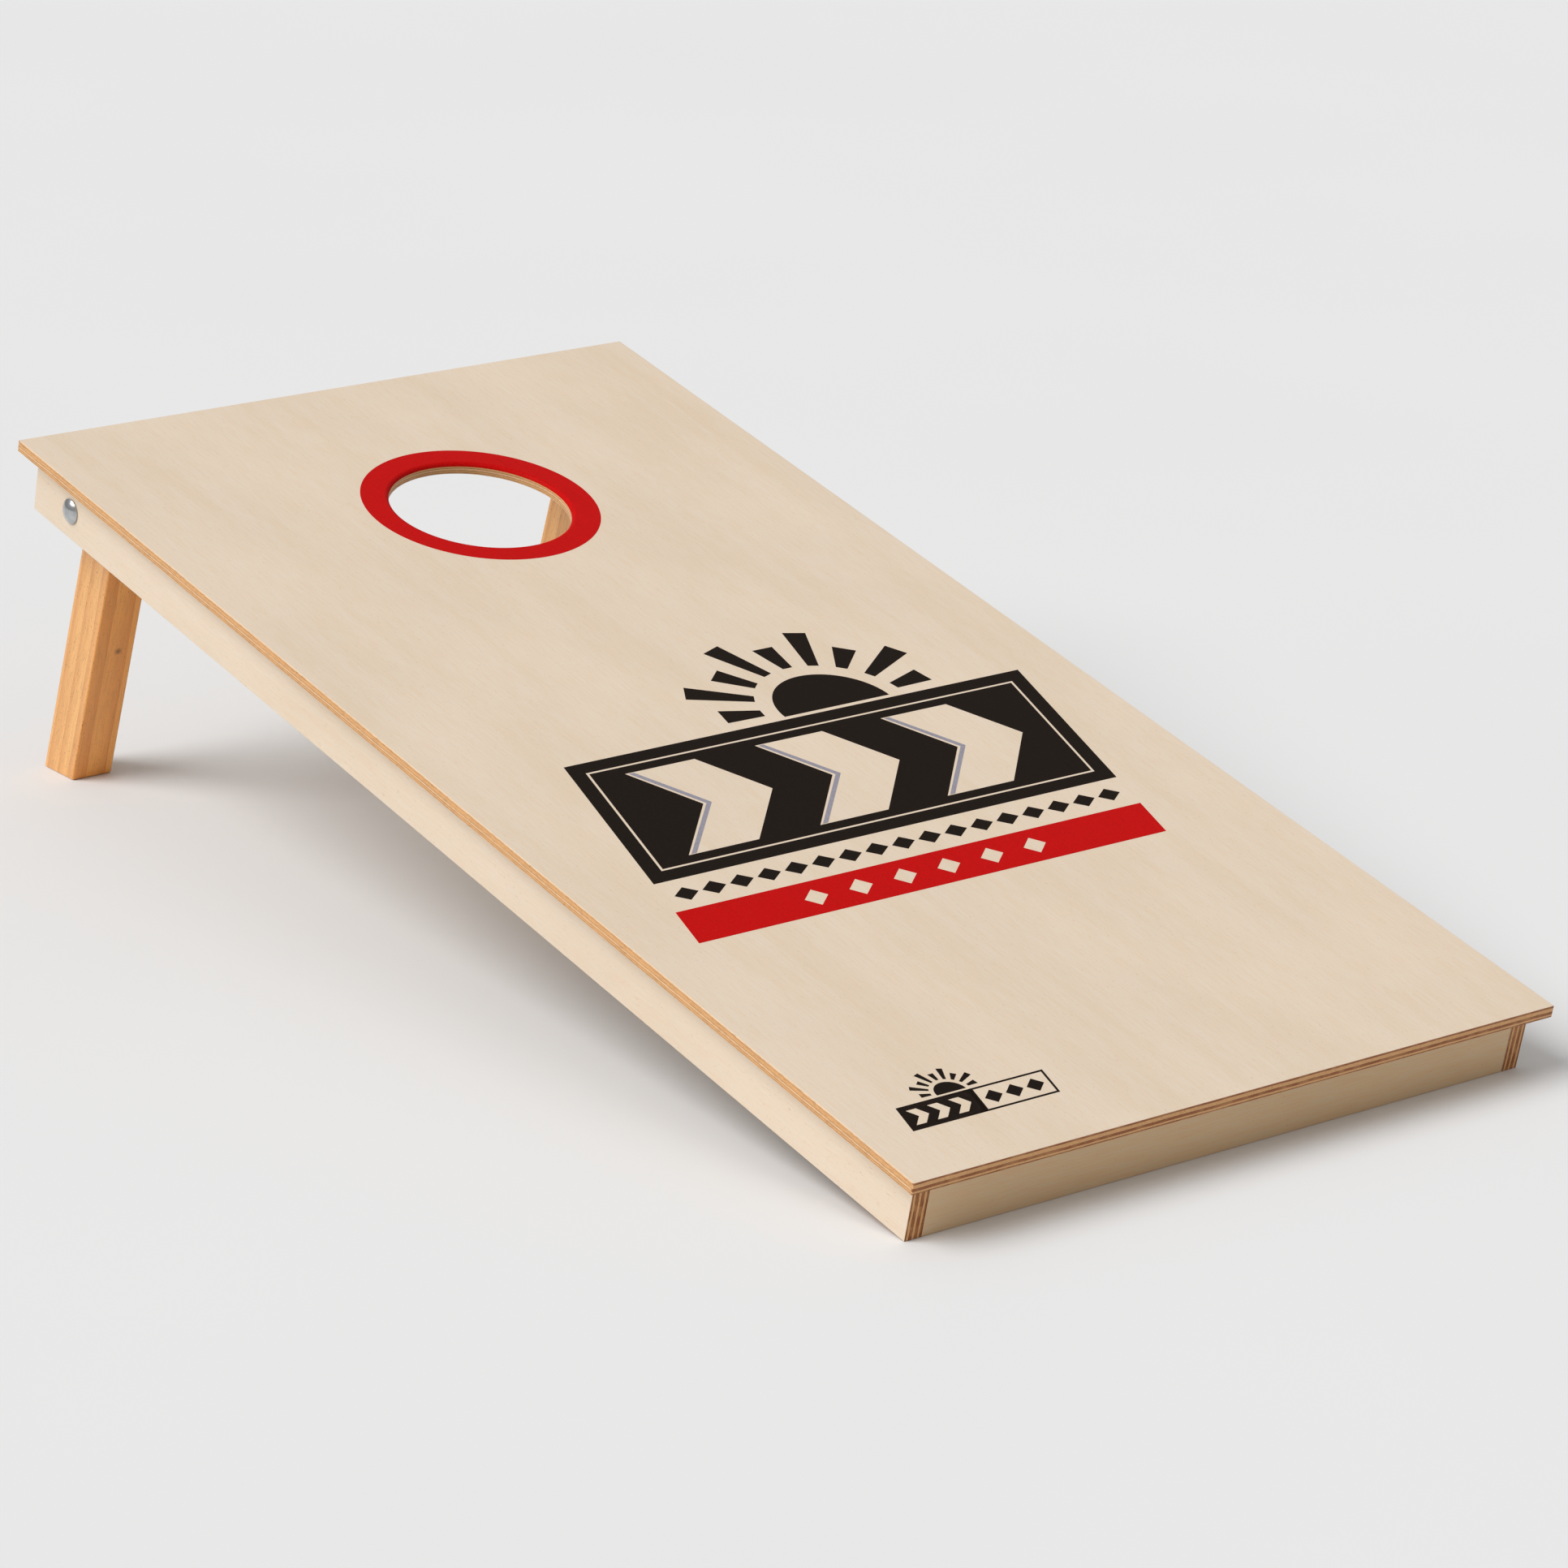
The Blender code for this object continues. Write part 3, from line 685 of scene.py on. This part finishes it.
def slanted(outline):
    """Points (s, v) of the print's slanted column as (u, v) on the deck."""
    return [(s + SLANT * (v - PANEL_TOP), v) for s, v in outline]


def rectangle(left, right, bottom, top):
    return [(left, bottom), (right, bottom), (right, top), (left, top)]


def diamond(s, v, half_width, half_height):
    return [(s - half_width, v), (s, v - half_height), (s + half_width, v), (s, v + half_height)]


def chevron(left, width, reach, bottom, top):
    """An arrowhead that points along the row, as wide as width everywhere."""
    middle = (bottom + top) / 2
    return [
        (left, bottom),
        (left + width, bottom),
        (left + width + reach, middle),
        (left + width, top),
        (left, top),
        (left + reach, middle),
    ]


def rising_sun(u, v, radius):
    """A half disc on a level line, and its rays, long and short by turns, as outlines on the deck."""
    rays = 9
    start, short, long = 1.28 * radius, 1.95 * radius, 2.35 * radius
    root, tip = 0.09 * radius, 0.19 * radius
    shapes = [arc((u, v), radius, 0, 180, 40)]
    for i in range(rays):
        angle = math.pi * (i + 0.5) / rays
        out = Vector((math.cos(angle), math.sin(angle)))
        aside = Vector((-out.y, out.x))
        end = long if i % 2 else short
        ends = ((start, -root), (end, -tip), (end, tip), (start, root))
        shapes.append([tuple(Vector((u, v)) + out * r + aside * w) for r, w in ends])
    return shapes


def print_ink(outlines, name, material, sizes):
    """A layer of ink on the deck. An outline inside another leaves bare wood, or fills it again."""
    curve = bpy.data.curves.new(name, "CURVE")
    curve.dimensions = "2D"
    curve.fill_mode = "BOTH"
    curve.extrude = sizes.ink_thickness / 2
    for outline in outlines:
        spline = curve.splines.new("POLY")
        spline.points.add(len(outline) - 1)
        for point, (u, v) in zip(spline.points, outline):
            point.co = (u, v, 0, 1)
        spline.use_cyclic_u = True
    layer = bpy.data.objects.new(name, curve)
    bpy.context.collection.objects.link(layer)
    select(layer)
    bpy.ops.object.convert(target="MESH")
    layer = bpy.context.object
    layer.location.z = sizes.ink_lift + sizes.ink_thickness / 2
    edit(layer)
    bpy.ops.mesh.remove_doubles(threshold=WELD)
    bpy.ops.mesh.normals_make_consistent(inside=False)
    bpy.ops.object.mode_set(mode="OBJECT")
    finish(layer, name, BOARD, material, "board", "deck_plywood")


class CORNHOLE_OT_print(bpy.types.Operator):
    """Print the panel, the row, the bar and the small mark on the deck"""

    bl_idname = "cornhole.print"
    bl_label = "Printed ink"

    chevrons = 3
    chevron_pitch = 124 * MM
    chevron_width = 66 * MM
    chevron_reach = 44 * MM
    chevron_margin = 26 * MM
    shade_width = 5 * MM
    shade_inset = 3 * MM
    shade_margin = 27 * MM
    sun_place, sun_rise, sun_radius = 72 * MM, 4 * MM, 52 * MM

    row_count = 17
    row_inset = 20 * MM
    row_diamond = (11 * MM, 9 * MM)
    bar_count = 6
    bar_pitch = 42 * MM
    bar_diamond = (11 * MM, 11 * MM)

    mark_line = 2 * MM
    mark_pitch = 19 * MM
    mark_chevron = (6 * MM, 9 * MM, 7 * MM)
    mark_margin = 5.5 * MM
    mark_diamond_from = 14 * MM
    mark_diamond = (8 * MM, 8 * MM)
    mark_sun_place, mark_sun_rise, mark_sun_radius = 52 * MM, 2 * MM, 13 * MM

    def chevron_starts(self):
        """The left edge of each chevron in the panel."""
        span = self.chevron_pitch * (self.chevrons - 1) + self.chevron_width + self.chevron_reach
        first = (sum(COLUMN) - span) / 2
        return [first + i * self.chevron_pitch for i in range(self.chevrons)]

    def panel(self, sizes):
        """The black panel, with a pale line inside its edge and bare chevrons."""
        left, right = COLUMN
        outlines = [rectangle(left, right, PANEL_BOTTOM, PANEL_TOP)]
        for inset in (sizes.panel_margin, sizes.panel_margin + sizes.panel_line):
            outlines.append(
                rectangle(left + inset, right - inset, PANEL_BOTTOM + inset, PANEL_TOP - inset)
            )
        bottom, top = PANEL_BOTTOM + self.chevron_margin, PANEL_TOP - self.chevron_margin
        for start in self.chevron_starts():
            outlines.append(chevron(start, self.chevron_width, self.chevron_reach, bottom, top))
        return [slanted(outline) for outline in outlines]

    def shades(self):
        """A grey line along the trailing edge of each chevron, inside its bare wood."""
        bottom, top = PANEL_BOTTOM + self.shade_margin, PANEL_TOP - self.shade_margin
        return [
            slanted(
                chevron(start + self.shade_inset, self.shade_width, self.chevron_reach, bottom, top)
            )
            for start in self.chevron_starts()
        ]

    def row(self):
        """Small diamonds between the panel and the bar."""
        left, right = COLUMN[0] + self.row_inset, COLUMN[1] - self.row_inset
        step = (right - left) / (self.row_count - 1)
        return [
            slanted(diamond(left + i * step, ROW_MIDDLE, *self.row_diamond))
            for i in range(self.row_count)
        ]

    def bar(self):
        """The red bar, with bare diamonds along its middle."""
        first = (sum(COLUMN) - (self.bar_count - 1) * self.bar_pitch) / 2
        level = (BAR_TOP + BAR_BOTTOM) / 2
        outlines = [rectangle(*COLUMN, BAR_BOTTOM, BAR_TOP)]
        for i in range(self.bar_count):
            outlines.append(diamond(first + i * self.bar_pitch, level, *self.bar_diamond))
        return [slanted(outline) for outline in outlines]

    def small_mark(self):
        """A black block with bare chevrons, and beside it an outlined block with black diamonds."""
        left, right = SMALL_MARK
        bottom, top = SMALL_MARK_BOTTOM, SMALL_MARK_TOP
        middle, level = (left + right) / 2, (bottom + top) / 2
        line, margin = self.mark_line, self.mark_margin
        outlines = [
            rectangle(left, middle, bottom, top),
            rectangle(middle, right, bottom, top),
            rectangle(middle + line, right - line, bottom + line, top - line),
        ]
        inset, width, reach = self.mark_chevron
        for i in range(self.chevrons):
            along = i * self.mark_pitch
            outlines.append(chevron(left + inset + along, width, reach, bottom + margin, top - margin))
            outlines.append(
                diamond(middle + self.mark_diamond_from + along, level, *self.mark_diamond)
            )
        return [slanted(outline) for outline in outlines]

    def execute(self, context):
        sizes, colours = context.scene.cornhole_sizes, context.scene.cornhole_colours
        black = screen_ink("black screen ink", colours.black_ink, 0.012)
        red = screen_ink("red screen ink", colours.red_ink, 0.012)
        grey = screen_ink("grey screen ink", colours.grey_ink, 0.04)
        sun = rising_sun(self.sun_place, PANEL_TOP + self.sun_rise, self.sun_radius)
        small_place = slanted([(SMALL_MARK[0] + self.mark_sun_place, SMALL_MARK_TOP)])[0][0]
        small_sun = rising_sun(small_place, SMALL_MARK_TOP + self.mark_sun_rise, self.mark_sun_radius)
        print_ink(self.panel(sizes), "panel_ink", black, sizes)
        print_ink(sun, "sun_ink", black, sizes)
        print_ink(self.row(), "row_ink", black, sizes)
        print_ink(self.shades(), "chevron_shade_ink", grey, sizes)
        print_ink(self.bar(), "bar_ink", red, sizes)
        print_ink(self.small_mark(), "small_mark_ink", black, sizes)
        print_ink(small_sun, "small_sun_ink", black, sizes)
        return {"FINISHED"}


class CORNHOLE_OT_ring(bpy.types.Operator):
    """Paint the red ring round the hole and over its routed edge"""

    bl_idname = "cornhole.ring"
    bl_label = "Painted ring"

    def execute(self, context):
        sizes, colours = context.scene.cornhole_sizes, context.scene.cornhole_colours
        centre, radius = hole_place()
        turn = (radius + sizes.hole_round, -sizes.hole_round)
        under = sizes.hole_round + sizes.ink_lift
        over = under + sizes.ink_thickness
        top = sizes.ink_lift + sizes.ink_thickness
        end = 180 - math.degrees(math.asin(1 - min(1, sizes.paint_depth / sizes.hole_round)))
        profile = [
            (sizes.ring_radius, sizes.ink_lift),
            (sizes.ring_radius, top),
            *arc(turn, over, 90, end, 8),
            *arc(turn, under, end, 90, 8),
            (sizes.ring_radius, sizes.ink_lift),
        ]
        ring = lathe(profile, HOLE_SEGMENTS)
        ring.location = (centre.x, centre.y, 0)
        paint = screen_ink("red ring paint", colours.red_ink, 0.012)
        finish(ring, "ring_paint", BOARD, paint, "board", "deck_plywood")
        return {"FINISHED"}


# The frame


def screw_axes(node):
    """A CAD screw's axes: Z from its point to its head, and the origin at its head's underside."""
    places = {tuple(round(c, 6) for c in vertex.co) for vertex in frame["nodes"][node].data.vertices}
    points = [Vector(place) for place in places]
    middle = sum(points, Vector()) / len(points)
    tip = max(points, key=lambda point: (point - middle).length)
    direction = (middle - tip).normalized()
    length = max((point - tip).dot(direction) for point in points)
    axes = direction.to_track_quat("Z", "Y").to_matrix().to_4x4()
    axes.translation = tip + direction * (length - SCREW_HEAD_HEIGHT)
    return axes


def screws_of(member):
    """The CAD screws whose pockets are bored in a frame member."""
    screws = [node for node in frame["nodes"] if "screw" in node]
    side = member.split("_")[0]
    if member.endswith("rail"):
        return [node for node in screws if node.startswith(f"deck_screw_{side}_")]
    if member.endswith("hinge_block"):
        return [node for node in screws if node.startswith(f"{side}_block_screw")]
    return [node for node in screws if member in node]


def bolt_line(side):
    """A point on a leg's bolt line, in the world."""
    return Vector(JOINTS[f"{side}_leg_fold"]["pos_m"])


def bore_for_bolt(obj, side, axes):
    """Cuts the bolt's round hole through an object that is still in its own axes."""
    reach = 80 * MM
    middle = axes.inverted() @ bolt_line(side)
    start = middle - Vector((reach, 0, 0))
    combine(obj, add_rod(start, (1, 0, 0), BOLT_RADIUS + BOLT_CLEARANCE, 2 * reach))


def bore_pockets(obj, nodes):
    """Cuts a smooth pocket outwards from under each screw's head, in board axes."""
    inverse = BOARD.inverted()
    drills = []
    for node in nodes:
        axes = inverse @ screw_axes(node)
        outwards = (axes.to_3x3() @ Vector((0, 0, 1))).normalized()
        start = axes.translation - outwards * BOLT_CLEARANCE
        drills.append(add_rod(start, outwards, POCKET_RADIUS, POCKET_LENGTH, POCKET_SEGMENTS))
    combine(obj, join(drills))


class CORNHOLE_OT_frame(bpy.types.Operator):
    """Make the rails, aprons, brace and hinge blocks, with their screw pockets"""

    bl_idname = "cornhole.frame"
    bl_label = "Frame"

    def execute(self, context):
        sizes, colours = context.scene.cornhole_sizes, context.scene.cornhole_colours
        members = {
            "left_rail": (0, 1),
            "right_rail": (0, 1),
            "left_hinge_block": (0, 1),
            "right_hinge_block": (0, 1),
            "front_apron": (1, 0),
            "back_apron": (1, 0),
            "centre_brace": (1, 0),
        }
        for member, (stack, grain) in members.items():
            box = corners(member, BOARD)
            piece = add_block(*box, sizes.wood_ease)
            bore_pockets(piece, screws_of(member))
            side = member.split("_")[0]
            if side in SIDES:
                bore_for_bolt(piece, side, BOARD)
            # Pieces whose grain runs across the board take the darker veneer, partly browner wood and partly
            # painted shade
            veneer, figure = colours.veneer, FINE_FIGURE
            if grain == 0:
                veneer, figure = colours.shaded_veneer, COARSE_FIGURE
            wood = birch_plywood(
                f"birch plywood {member}", colours, veneer, figure, box, stack, grain, FRAME_LAYERS
            )
            finish(piece, f"{member}_board", BOARD, wood, "board", "frame_plywood", member)
        return {"FINISHED"}


class CORNHOLE_OT_screws(bpy.types.Operator):
    """Make the square-drive pocket screws"""

    bl_idname = "cornhole.screws"
    bl_label = "Pocket screws"

    head_radius = 4.25 * MM
    boss_radius = 2.9 * MM
    rim_height = 0.4 * MM
    shank_radius, root_radius = 1.75 * MM, 1.2 * MM
    pitch = 1.4 * MM
    point_length = 4 * MM
    recess_width, recess_depth = 2.6 * MM, 1.5 * MM

    def model(self, length):
        """A washer-head screw along Z, with ring threads, a point and a square recess."""
        head, rim, root = self.head_radius, self.rim_height, self.root_radius
        profile = [
            (0, SCREW_HEAD_HEIGHT),
            (self.boss_radius - 0.5 * MM, SCREW_HEAD_HEIGHT),
            (self.boss_radius, 1.1 * MM),
            (head - rim / 2, 2 * rim),
            (head, rim),
            (head, 0),
            (root, 0),
        ]
        height = -2 * self.pitch
        while height > self.point_length - length:
            profile += [(root, height), (self.shank_radius, height - self.pitch / 2)]
            height -= self.pitch
        profile += [(root, height), (0, -length)]
        screw = lathe(profile, SCREW_SEGMENTS)
        half = self.recess_width / 2
        low = Vector((-half, -half, SCREW_HEAD_HEIGHT - self.recess_depth))
        high = Vector((half, half, SCREW_HEAD_HEIGHT + MM))
        return combine(screw, add_block(low, high, 0))

    def execute(self, context):
        steel = zinc_plate("zinc plated screw steel", context.scene.cornhole_colours.zinc, 0.3)
        models = {}
        for node in sorted(name for name in frame["nodes"] if "screw" in name):
            own = screw_axes(node)
            length = -corners(node, own)[0].z
            key = round(length / MM)
            if key not in models:
                models[key] = self.model(length)
            finish(copy_of(models[key]), f"{node}_steel", own, steel, "board", "screw_steel", node)
        for model in models.values():
            bpy.data.objects.remove(model)
        return {"FINISHED"}


# The legs and their hardware


def leg_axes(side):
    """A leg's own axes at rest: Z up the leg, and its origin on the bolt's line."""
    axes = Matrix.Rotation(TILT + LEAN, 4, "X")
    axes.translation = bolt_line(side)
    return axes


class CORNHOLE_OT_legs(bpy.types.Operator):
    """Make the two pine legs"""

    bl_idname = "cornhole.legs"
    bl_label = "Legs"

    knot_aside = 4 * MM
    knot_below_bolt = 135 * MM

    def model(self, side, edge_round):
        """A leg in its own axes: cut level with the deck and the floor, its front top corner rounded."""
        node, axes = f"{side}_leg", leg_axes(side)
        low, high = corners(node, axes)
        spare = Vector((0, 0, high.y - low.y))
        leg = add_block(low - spare, high + spare, 0)
        inverse = axes.inverted()
        deck_up = (inverse.to_3x3() @ BOARD.to_3x3() @ Vector((0, 0, 1))).normalized()
        floor_up = (inverse.to_3x3() @ Vector((0, 0, 1))).normalized()
        top = BOARD.inverted() @ bolt_line(side)
        rise = corners(node, BOARD)[1].z - top.z
        sole = inverse @ Vector(MOUNTS[f"{side}_sole"]["pos_m"])
        for place, outwards in ((deck_up * rise, deck_up), (sole, -floor_up)):
            edit(leg)
            bpy.ops.mesh.bisect(
                plane_co=place, plane_no=outwards, use_fill=True, clear_outer=True, clear_inner=False
            )
        edit(leg, "DESELECT")
        select_edges(lambda co: co.z > 0 and co.y < low.y + NEAR)
        mesh = bmesh.from_edit_mesh(leg.data)
        for edge in mesh.edges:
            if abs(edge.verts[0].co.z - edge.verts[1].co.z) > NEAR:
                edge.select_set(False)
        bmesh.update_edit_mesh(leg.data)
        corner = math.pi / 2 - LEAN
        offset = (high.y - low.y) / 2 / math.tan(corner / 2)
        bpy.ops.mesh.bevel(offset=offset, segments=ROUND_SEGMENTS // 2, affect="EDGES")
        bpy.ops.object.mode_set(mode="OBJECT")
        soften(leg, edge_round, 35)
        bore_for_bolt(leg, side, axes)
        return leg

    def execute(self, context):
        sizes, colours = context.scene.cornhole_sizes, context.scene.cornhole_colours
        for side in SIDES:
            axes = leg_axes(side)
            box = corners(f"{side}_leg", axes)
            knot = (-SIDES[side] * self.knot_aside, box[0].y, -self.knot_below_bolt)
            wood = varnished_pine(f"varnished pine {side}", colours, axes, box, knot)
            leg = self.model(side, sizes.leg_round)
            finish(leg, f"{side}_leg_wood", axes, wood, f"{side}_leg", "leg_pine", f"{side}_leg")
        return {"FINISHED"}


class CORNHOLE_OT_bolts(bpy.types.Operator):
    """Make the carriage bolts and the washers on them"""

    bl_idname = "cornhole.bolts"
    bl_label = "Bolts and washers"

    head_height, rim_height = 5 * MM, 0.9 * MM
    rim_ease, rim_inset = 0.25 * MM, 0.3 * MM
    neck_depth = 5 * MM
    shank_length = 46 * MM
    thread_depth = 0.9 * MM
    thread_profile = ((1, 0.42), (1, 0.55), (0, 0.95), (0, 1))
    washer_play = 0.35 * MM

    def bolt(self, side):
        """A carriage bolt along Z: domed head, square neck, and thread turned as rings of one pitch each.

        The thread's profile gives how deep it is, as a share, and how far along its pitch.
        """
        axes = along_x(bolt_line(side), SIDES[side])
        low, high = corners(f"{side}_carriage_bolt", axes)
        seat = high.z - self.head_height
        half = high.x
        cap = self.head_height - self.rim_height
        sphere = (half**2 + cap**2) / (2 * cap)
        edge = math.degrees(math.asin(half / sphere))
        profile = arc((0, high.z - sphere), sphere, 90, 90 - edge, 12)
        profile[0] = (0, high.z)
        profile += [(half, seat + self.rim_ease), (half - self.rim_inset, seat), (BOLT_RADIUS, seat)]
        level = seat - self.shank_length
        profile.append((BOLT_RADIUS, level))
        while level - THREAD_PITCH > low.z + MM:
            for deep, along in self.thread_profile:
                profile.append((BOLT_RADIUS - deep * self.thread_depth, level - THREAD_PITCH * along))
            level -= THREAD_PITCH
        root = BOLT_RADIUS - self.thread_depth
        profile += [(root, low.z), (0, low.z)]
        bolt = lathe(profile)
        corner = Vector((BOLT_RADIUS, BOLT_RADIUS, seat + self.rim_height / 2))
        opposite = Vector((-BOLT_RADIUS, -BOLT_RADIUS, seat - self.neck_depth))
        combine(bolt, add_block(opposite, corner, 0), "UNION")
        return bolt, axes

    def washer(self, node, side):
        """A flat washer along Z, between the two faces of its CAD solid."""
        axes = along_x(bolt_line(side), SIDES[side])
        low, high = corners(node, axes)
        inner, outer = BOLT_RADIUS + self.washer_play, high.x
        ease = self.rim_ease
        profile = [
            (inner, high.z),
            (outer - ease, high.z),
            (outer, high.z - ease),
            (outer, low.z + ease),
            (outer - ease, low.z),
            (inner, low.z),
            (inner, high.z),
        ]
        return lathe(profile), axes

    def execute(self, context):
        zinc = zinc_plate("bright zinc plated steel", context.scene.cornhole_colours.zinc, 0.16)
        for side in SIDES:
            bolt, axes = self.bolt(side)
            node = f"{side}_carriage_bolt"
            finish(bolt, f"{node}_steel", axes, zinc, "board", "hardware_steel", node)
            for node, body in (
                (f"{side}_hinge_washer", "board"),
                (f"{side}_nut_washer", f"{side}_nut_washer"),
            ):
                washer, axes = self.washer(node, side)
                finish(washer, f"{node}_steel", axes, zinc, body, "hardware_steel", node)
        return {"FINISHED"}


class CORNHOLE_OT_wing_nuts(bpy.types.Operator):
    """Make the wing nuts"""

    bl_idname = "cornhole.wing_nuts"
    bl_label = "Wing nuts"

    hub_height = 10.5 * MM
    foot_radius, crown_radius = 8.5 * MM, 7 * MM
    foot_height = 1.6 * MM
    foot_ease, crown_ease = 0.4 * MM, 0.8 * MM
    wing_thickness, wing_round = 3 * MM, 0.9 * MM
    wing_root, wing_root_height, wing_root_radius = 4 * MM, 6 * MM, 4.5 * MM
    wing_tip_inset, wing_tip_radius = 5.2 * MM, 5 * MM
    bore_play = 0.25 * MM

    def wing(self, end, span, height):
        """One wing in its own flat plane: the hull round a small disc in the hub and one at the tip."""
        inset, thickness = self.wing_tip_inset, self.wing_thickness
        discs = (
            (end * self.wing_root, self.wing_root_height, self.wing_root_radius),
            (end * (span - inset), height - inset, self.wing_tip_radius),
        )
        wing = join(
            [add_rod((x, -thickness / 2, z), (0, 1, 0), radius, thickness, 32) for x, z, radius in discs]
        )
        edit(wing)
        bpy.ops.mesh.convex_hull()
        bpy.ops.object.mode_set(mode="OBJECT")
        return soften(wing, self.wing_round, 60)

    def model(self, node, side):
        """A cast wing nut along Z, with its base at the washer and its wings away from it."""
        axes = along_x(bolt_line(side), -SIDES[side])
        low, high = corners(node, axes)
        base, top = low.z, low.z + self.hub_height
        profile = [
            (0, top),
            (self.crown_radius - self.crown_ease, top),
            (self.crown_radius, top - self.crown_ease),
            (self.foot_radius, base + self.foot_height),
            (self.foot_radius, base + self.foot_ease),
            (self.foot_radius - self.foot_ease, base),
            (0, base),
        ]
        nut = lathe(profile)
        span = max(high.x, high.y)
        for end in (-1, 1):
            wing = self.wing(end, span, high.z - base)
            wing.location.z = base
            if high.y > high.x:
                wing.rotation_euler.z = math.pi / 2
            select(wing)
            combine(nut, bake_place(), "UNION")
        length = self.hub_height + 3 * RUN_OUT
        bore = add_rod((0, 0, base - RUN_OUT), (0, 0, 1), BOLT_RADIUS + self.bore_play, length)
        return combine(nut, bore), axes

    def execute(self, context):
        zinc = zinc_plate("cast zinc plated nut", context.scene.cornhole_colours.zinc, 0.24)
        for side in SIDES:
            node = f"{side}_wing_nut"
            nut, axes = self.model(node, side)
            finish(nut, f"{node}_steel", axes, zinc, node, "hardware_steel", node)
        return {"FINISHED"}


# The stage


class CORNHOLE_OT_stage(bpy.types.Operator):
    """Set the floor, the light and the camera"""

    bl_idname = "cornhole.stage"
    bl_label = "Stage"

    camera_place = (-2.649, -3.484, 1.595)
    camera_aim = (-0.047, -0.131, 0.1565)
    camera_roll = math.radians(1.39)
    camera_lens = 134.3
    camera_sensor = 36
    key_from = (-0.66, 0.16, 0.73)
    key_strength = 2.35
    key_softness = math.radians(42)
    sky_at_horizon = 0.26
    sky_overhead = 0.62
    floor_size = 60

    def make_floor(self, colours):
        begin()
        bpy.ops.mesh.primitive_plane_add(size=self.floor_size, location=(0, 0, 0))
        floor = bpy.context.object
        floor.name = "studio_floor"
        floor.data.materials.append(studio_paper("matt studio paper", colours.floor))

    def make_light(self):
        begin()
        bpy.ops.object.light_add(type="SUN", location=Vector(self.key_from) * 5)
        key = bpy.context.object
        key.name = "key_light"
        key.rotation_mode = "QUATERNION"
        key.rotation_quaternion = Vector(self.key_from).to_track_quat("Z", "Y")
        key.data.energy = self.key_strength
        key.data.angle = self.key_softness
        world = bpy.data.worlds.new("studio light")
        bpy.context.scene.world = world
        world.use_nodes = True
        tree = world.node_tree
        source = add_node(tree, "ShaderNodeTexCoord")
        split = add_node(tree, "ShaderNodeSeparateXYZ", {}, {0: source.outputs["Generated"]})
        glow = add_node(
            tree,
            "ShaderNodeMapRange",
            {},
            {"Value": split.outputs[2], "To Min": self.sky_at_horizon, "To Max": self.sky_overhead},
        )
        tree.links.new(glow.outputs[0], tree.nodes["Background"].inputs["Color"])

    def make_camera(self):
        begin()
        bpy.ops.object.camera_add(location=self.camera_place)
        camera = bpy.context.object
        camera.name = "studio_camera"
        view = Vector(self.camera_aim) - Vector(self.camera_place)
        camera.rotation_mode = "QUATERNION"
        roll = Quaternion((0, 0, 1), self.camera_roll)
        camera.rotation_quaternion = view.to_track_quat("-Z", "Y") @ roll
        camera.data.lens = self.camera_lens
        camera.data.sensor_width = self.camera_sensor
        bpy.context.scene.camera = camera

    def execute(self, context):
        self.make_floor(context.scene.cornhole_colours)
        self.make_light()
        self.make_camera()
        context.scene.view_settings.view_transform = "Standard"
        return {"FINISHED"}


class CORNHOLE_PT_panel(bpy.types.Panel):
    """Lists the pieces of the board and the settings of its finish"""

    bl_label = "Cornhole board"
    bl_idname = "CORNHOLE_PT_panel"
    bl_space_type = "VIEW_3D"
    bl_region_type = "UI"
    bl_category = "Cornhole board"

    def draw(self, context):
        for operator in OPERATORS:
            self.layout.operator(operator.bl_idname)
        for group in (context.scene.cornhole_sizes, context.scene.cornhole_colours):
            for name in group.__annotations__:
                self.layout.prop(group, name)


OPERATORS = (
    CORNHOLE_OT_deck,
    CORNHOLE_OT_ring,
    CORNHOLE_OT_print,
    CORNHOLE_OT_frame,
    CORNHOLE_OT_screws,
    CORNHOLE_OT_legs,
    CORNHOLE_OT_bolts,
    CORNHOLE_OT_wing_nuts,
    CORNHOLE_OT_stage,
)
CLASSES = (CornholeBoardSizes, CornholeBoardColours, *OPERATORS, CORNHOLE_PT_panel)


def register():
    for item in CLASSES:
        bpy.utils.register_class(item)
    bpy.types.Scene.cornhole_sizes = bpy.props.PointerProperty(type=CornholeBoardSizes)
    bpy.types.Scene.cornhole_colours = bpy.props.PointerProperty(type=CornholeBoardColours)


def unregister():
    del bpy.types.Scene.cornhole_colours
    del bpy.types.Scene.cornhole_sizes
    for item in reversed(CLASSES):
        bpy.utils.unregister_class(item)


def main():
    register()
    bpy.ops.cornhole.deck()
    bpy.ops.cornhole.ring()
    bpy.ops.cornhole.print()
    bpy.ops.cornhole.frame()
    bpy.ops.cornhole.screws()
    bpy.ops.cornhole.legs()
    bpy.ops.cornhole.bolts()
    bpy.ops.cornhole.wing_nuts()
    bpy.ops.cornhole.stage()


if __name__ == "__main__":
    main()
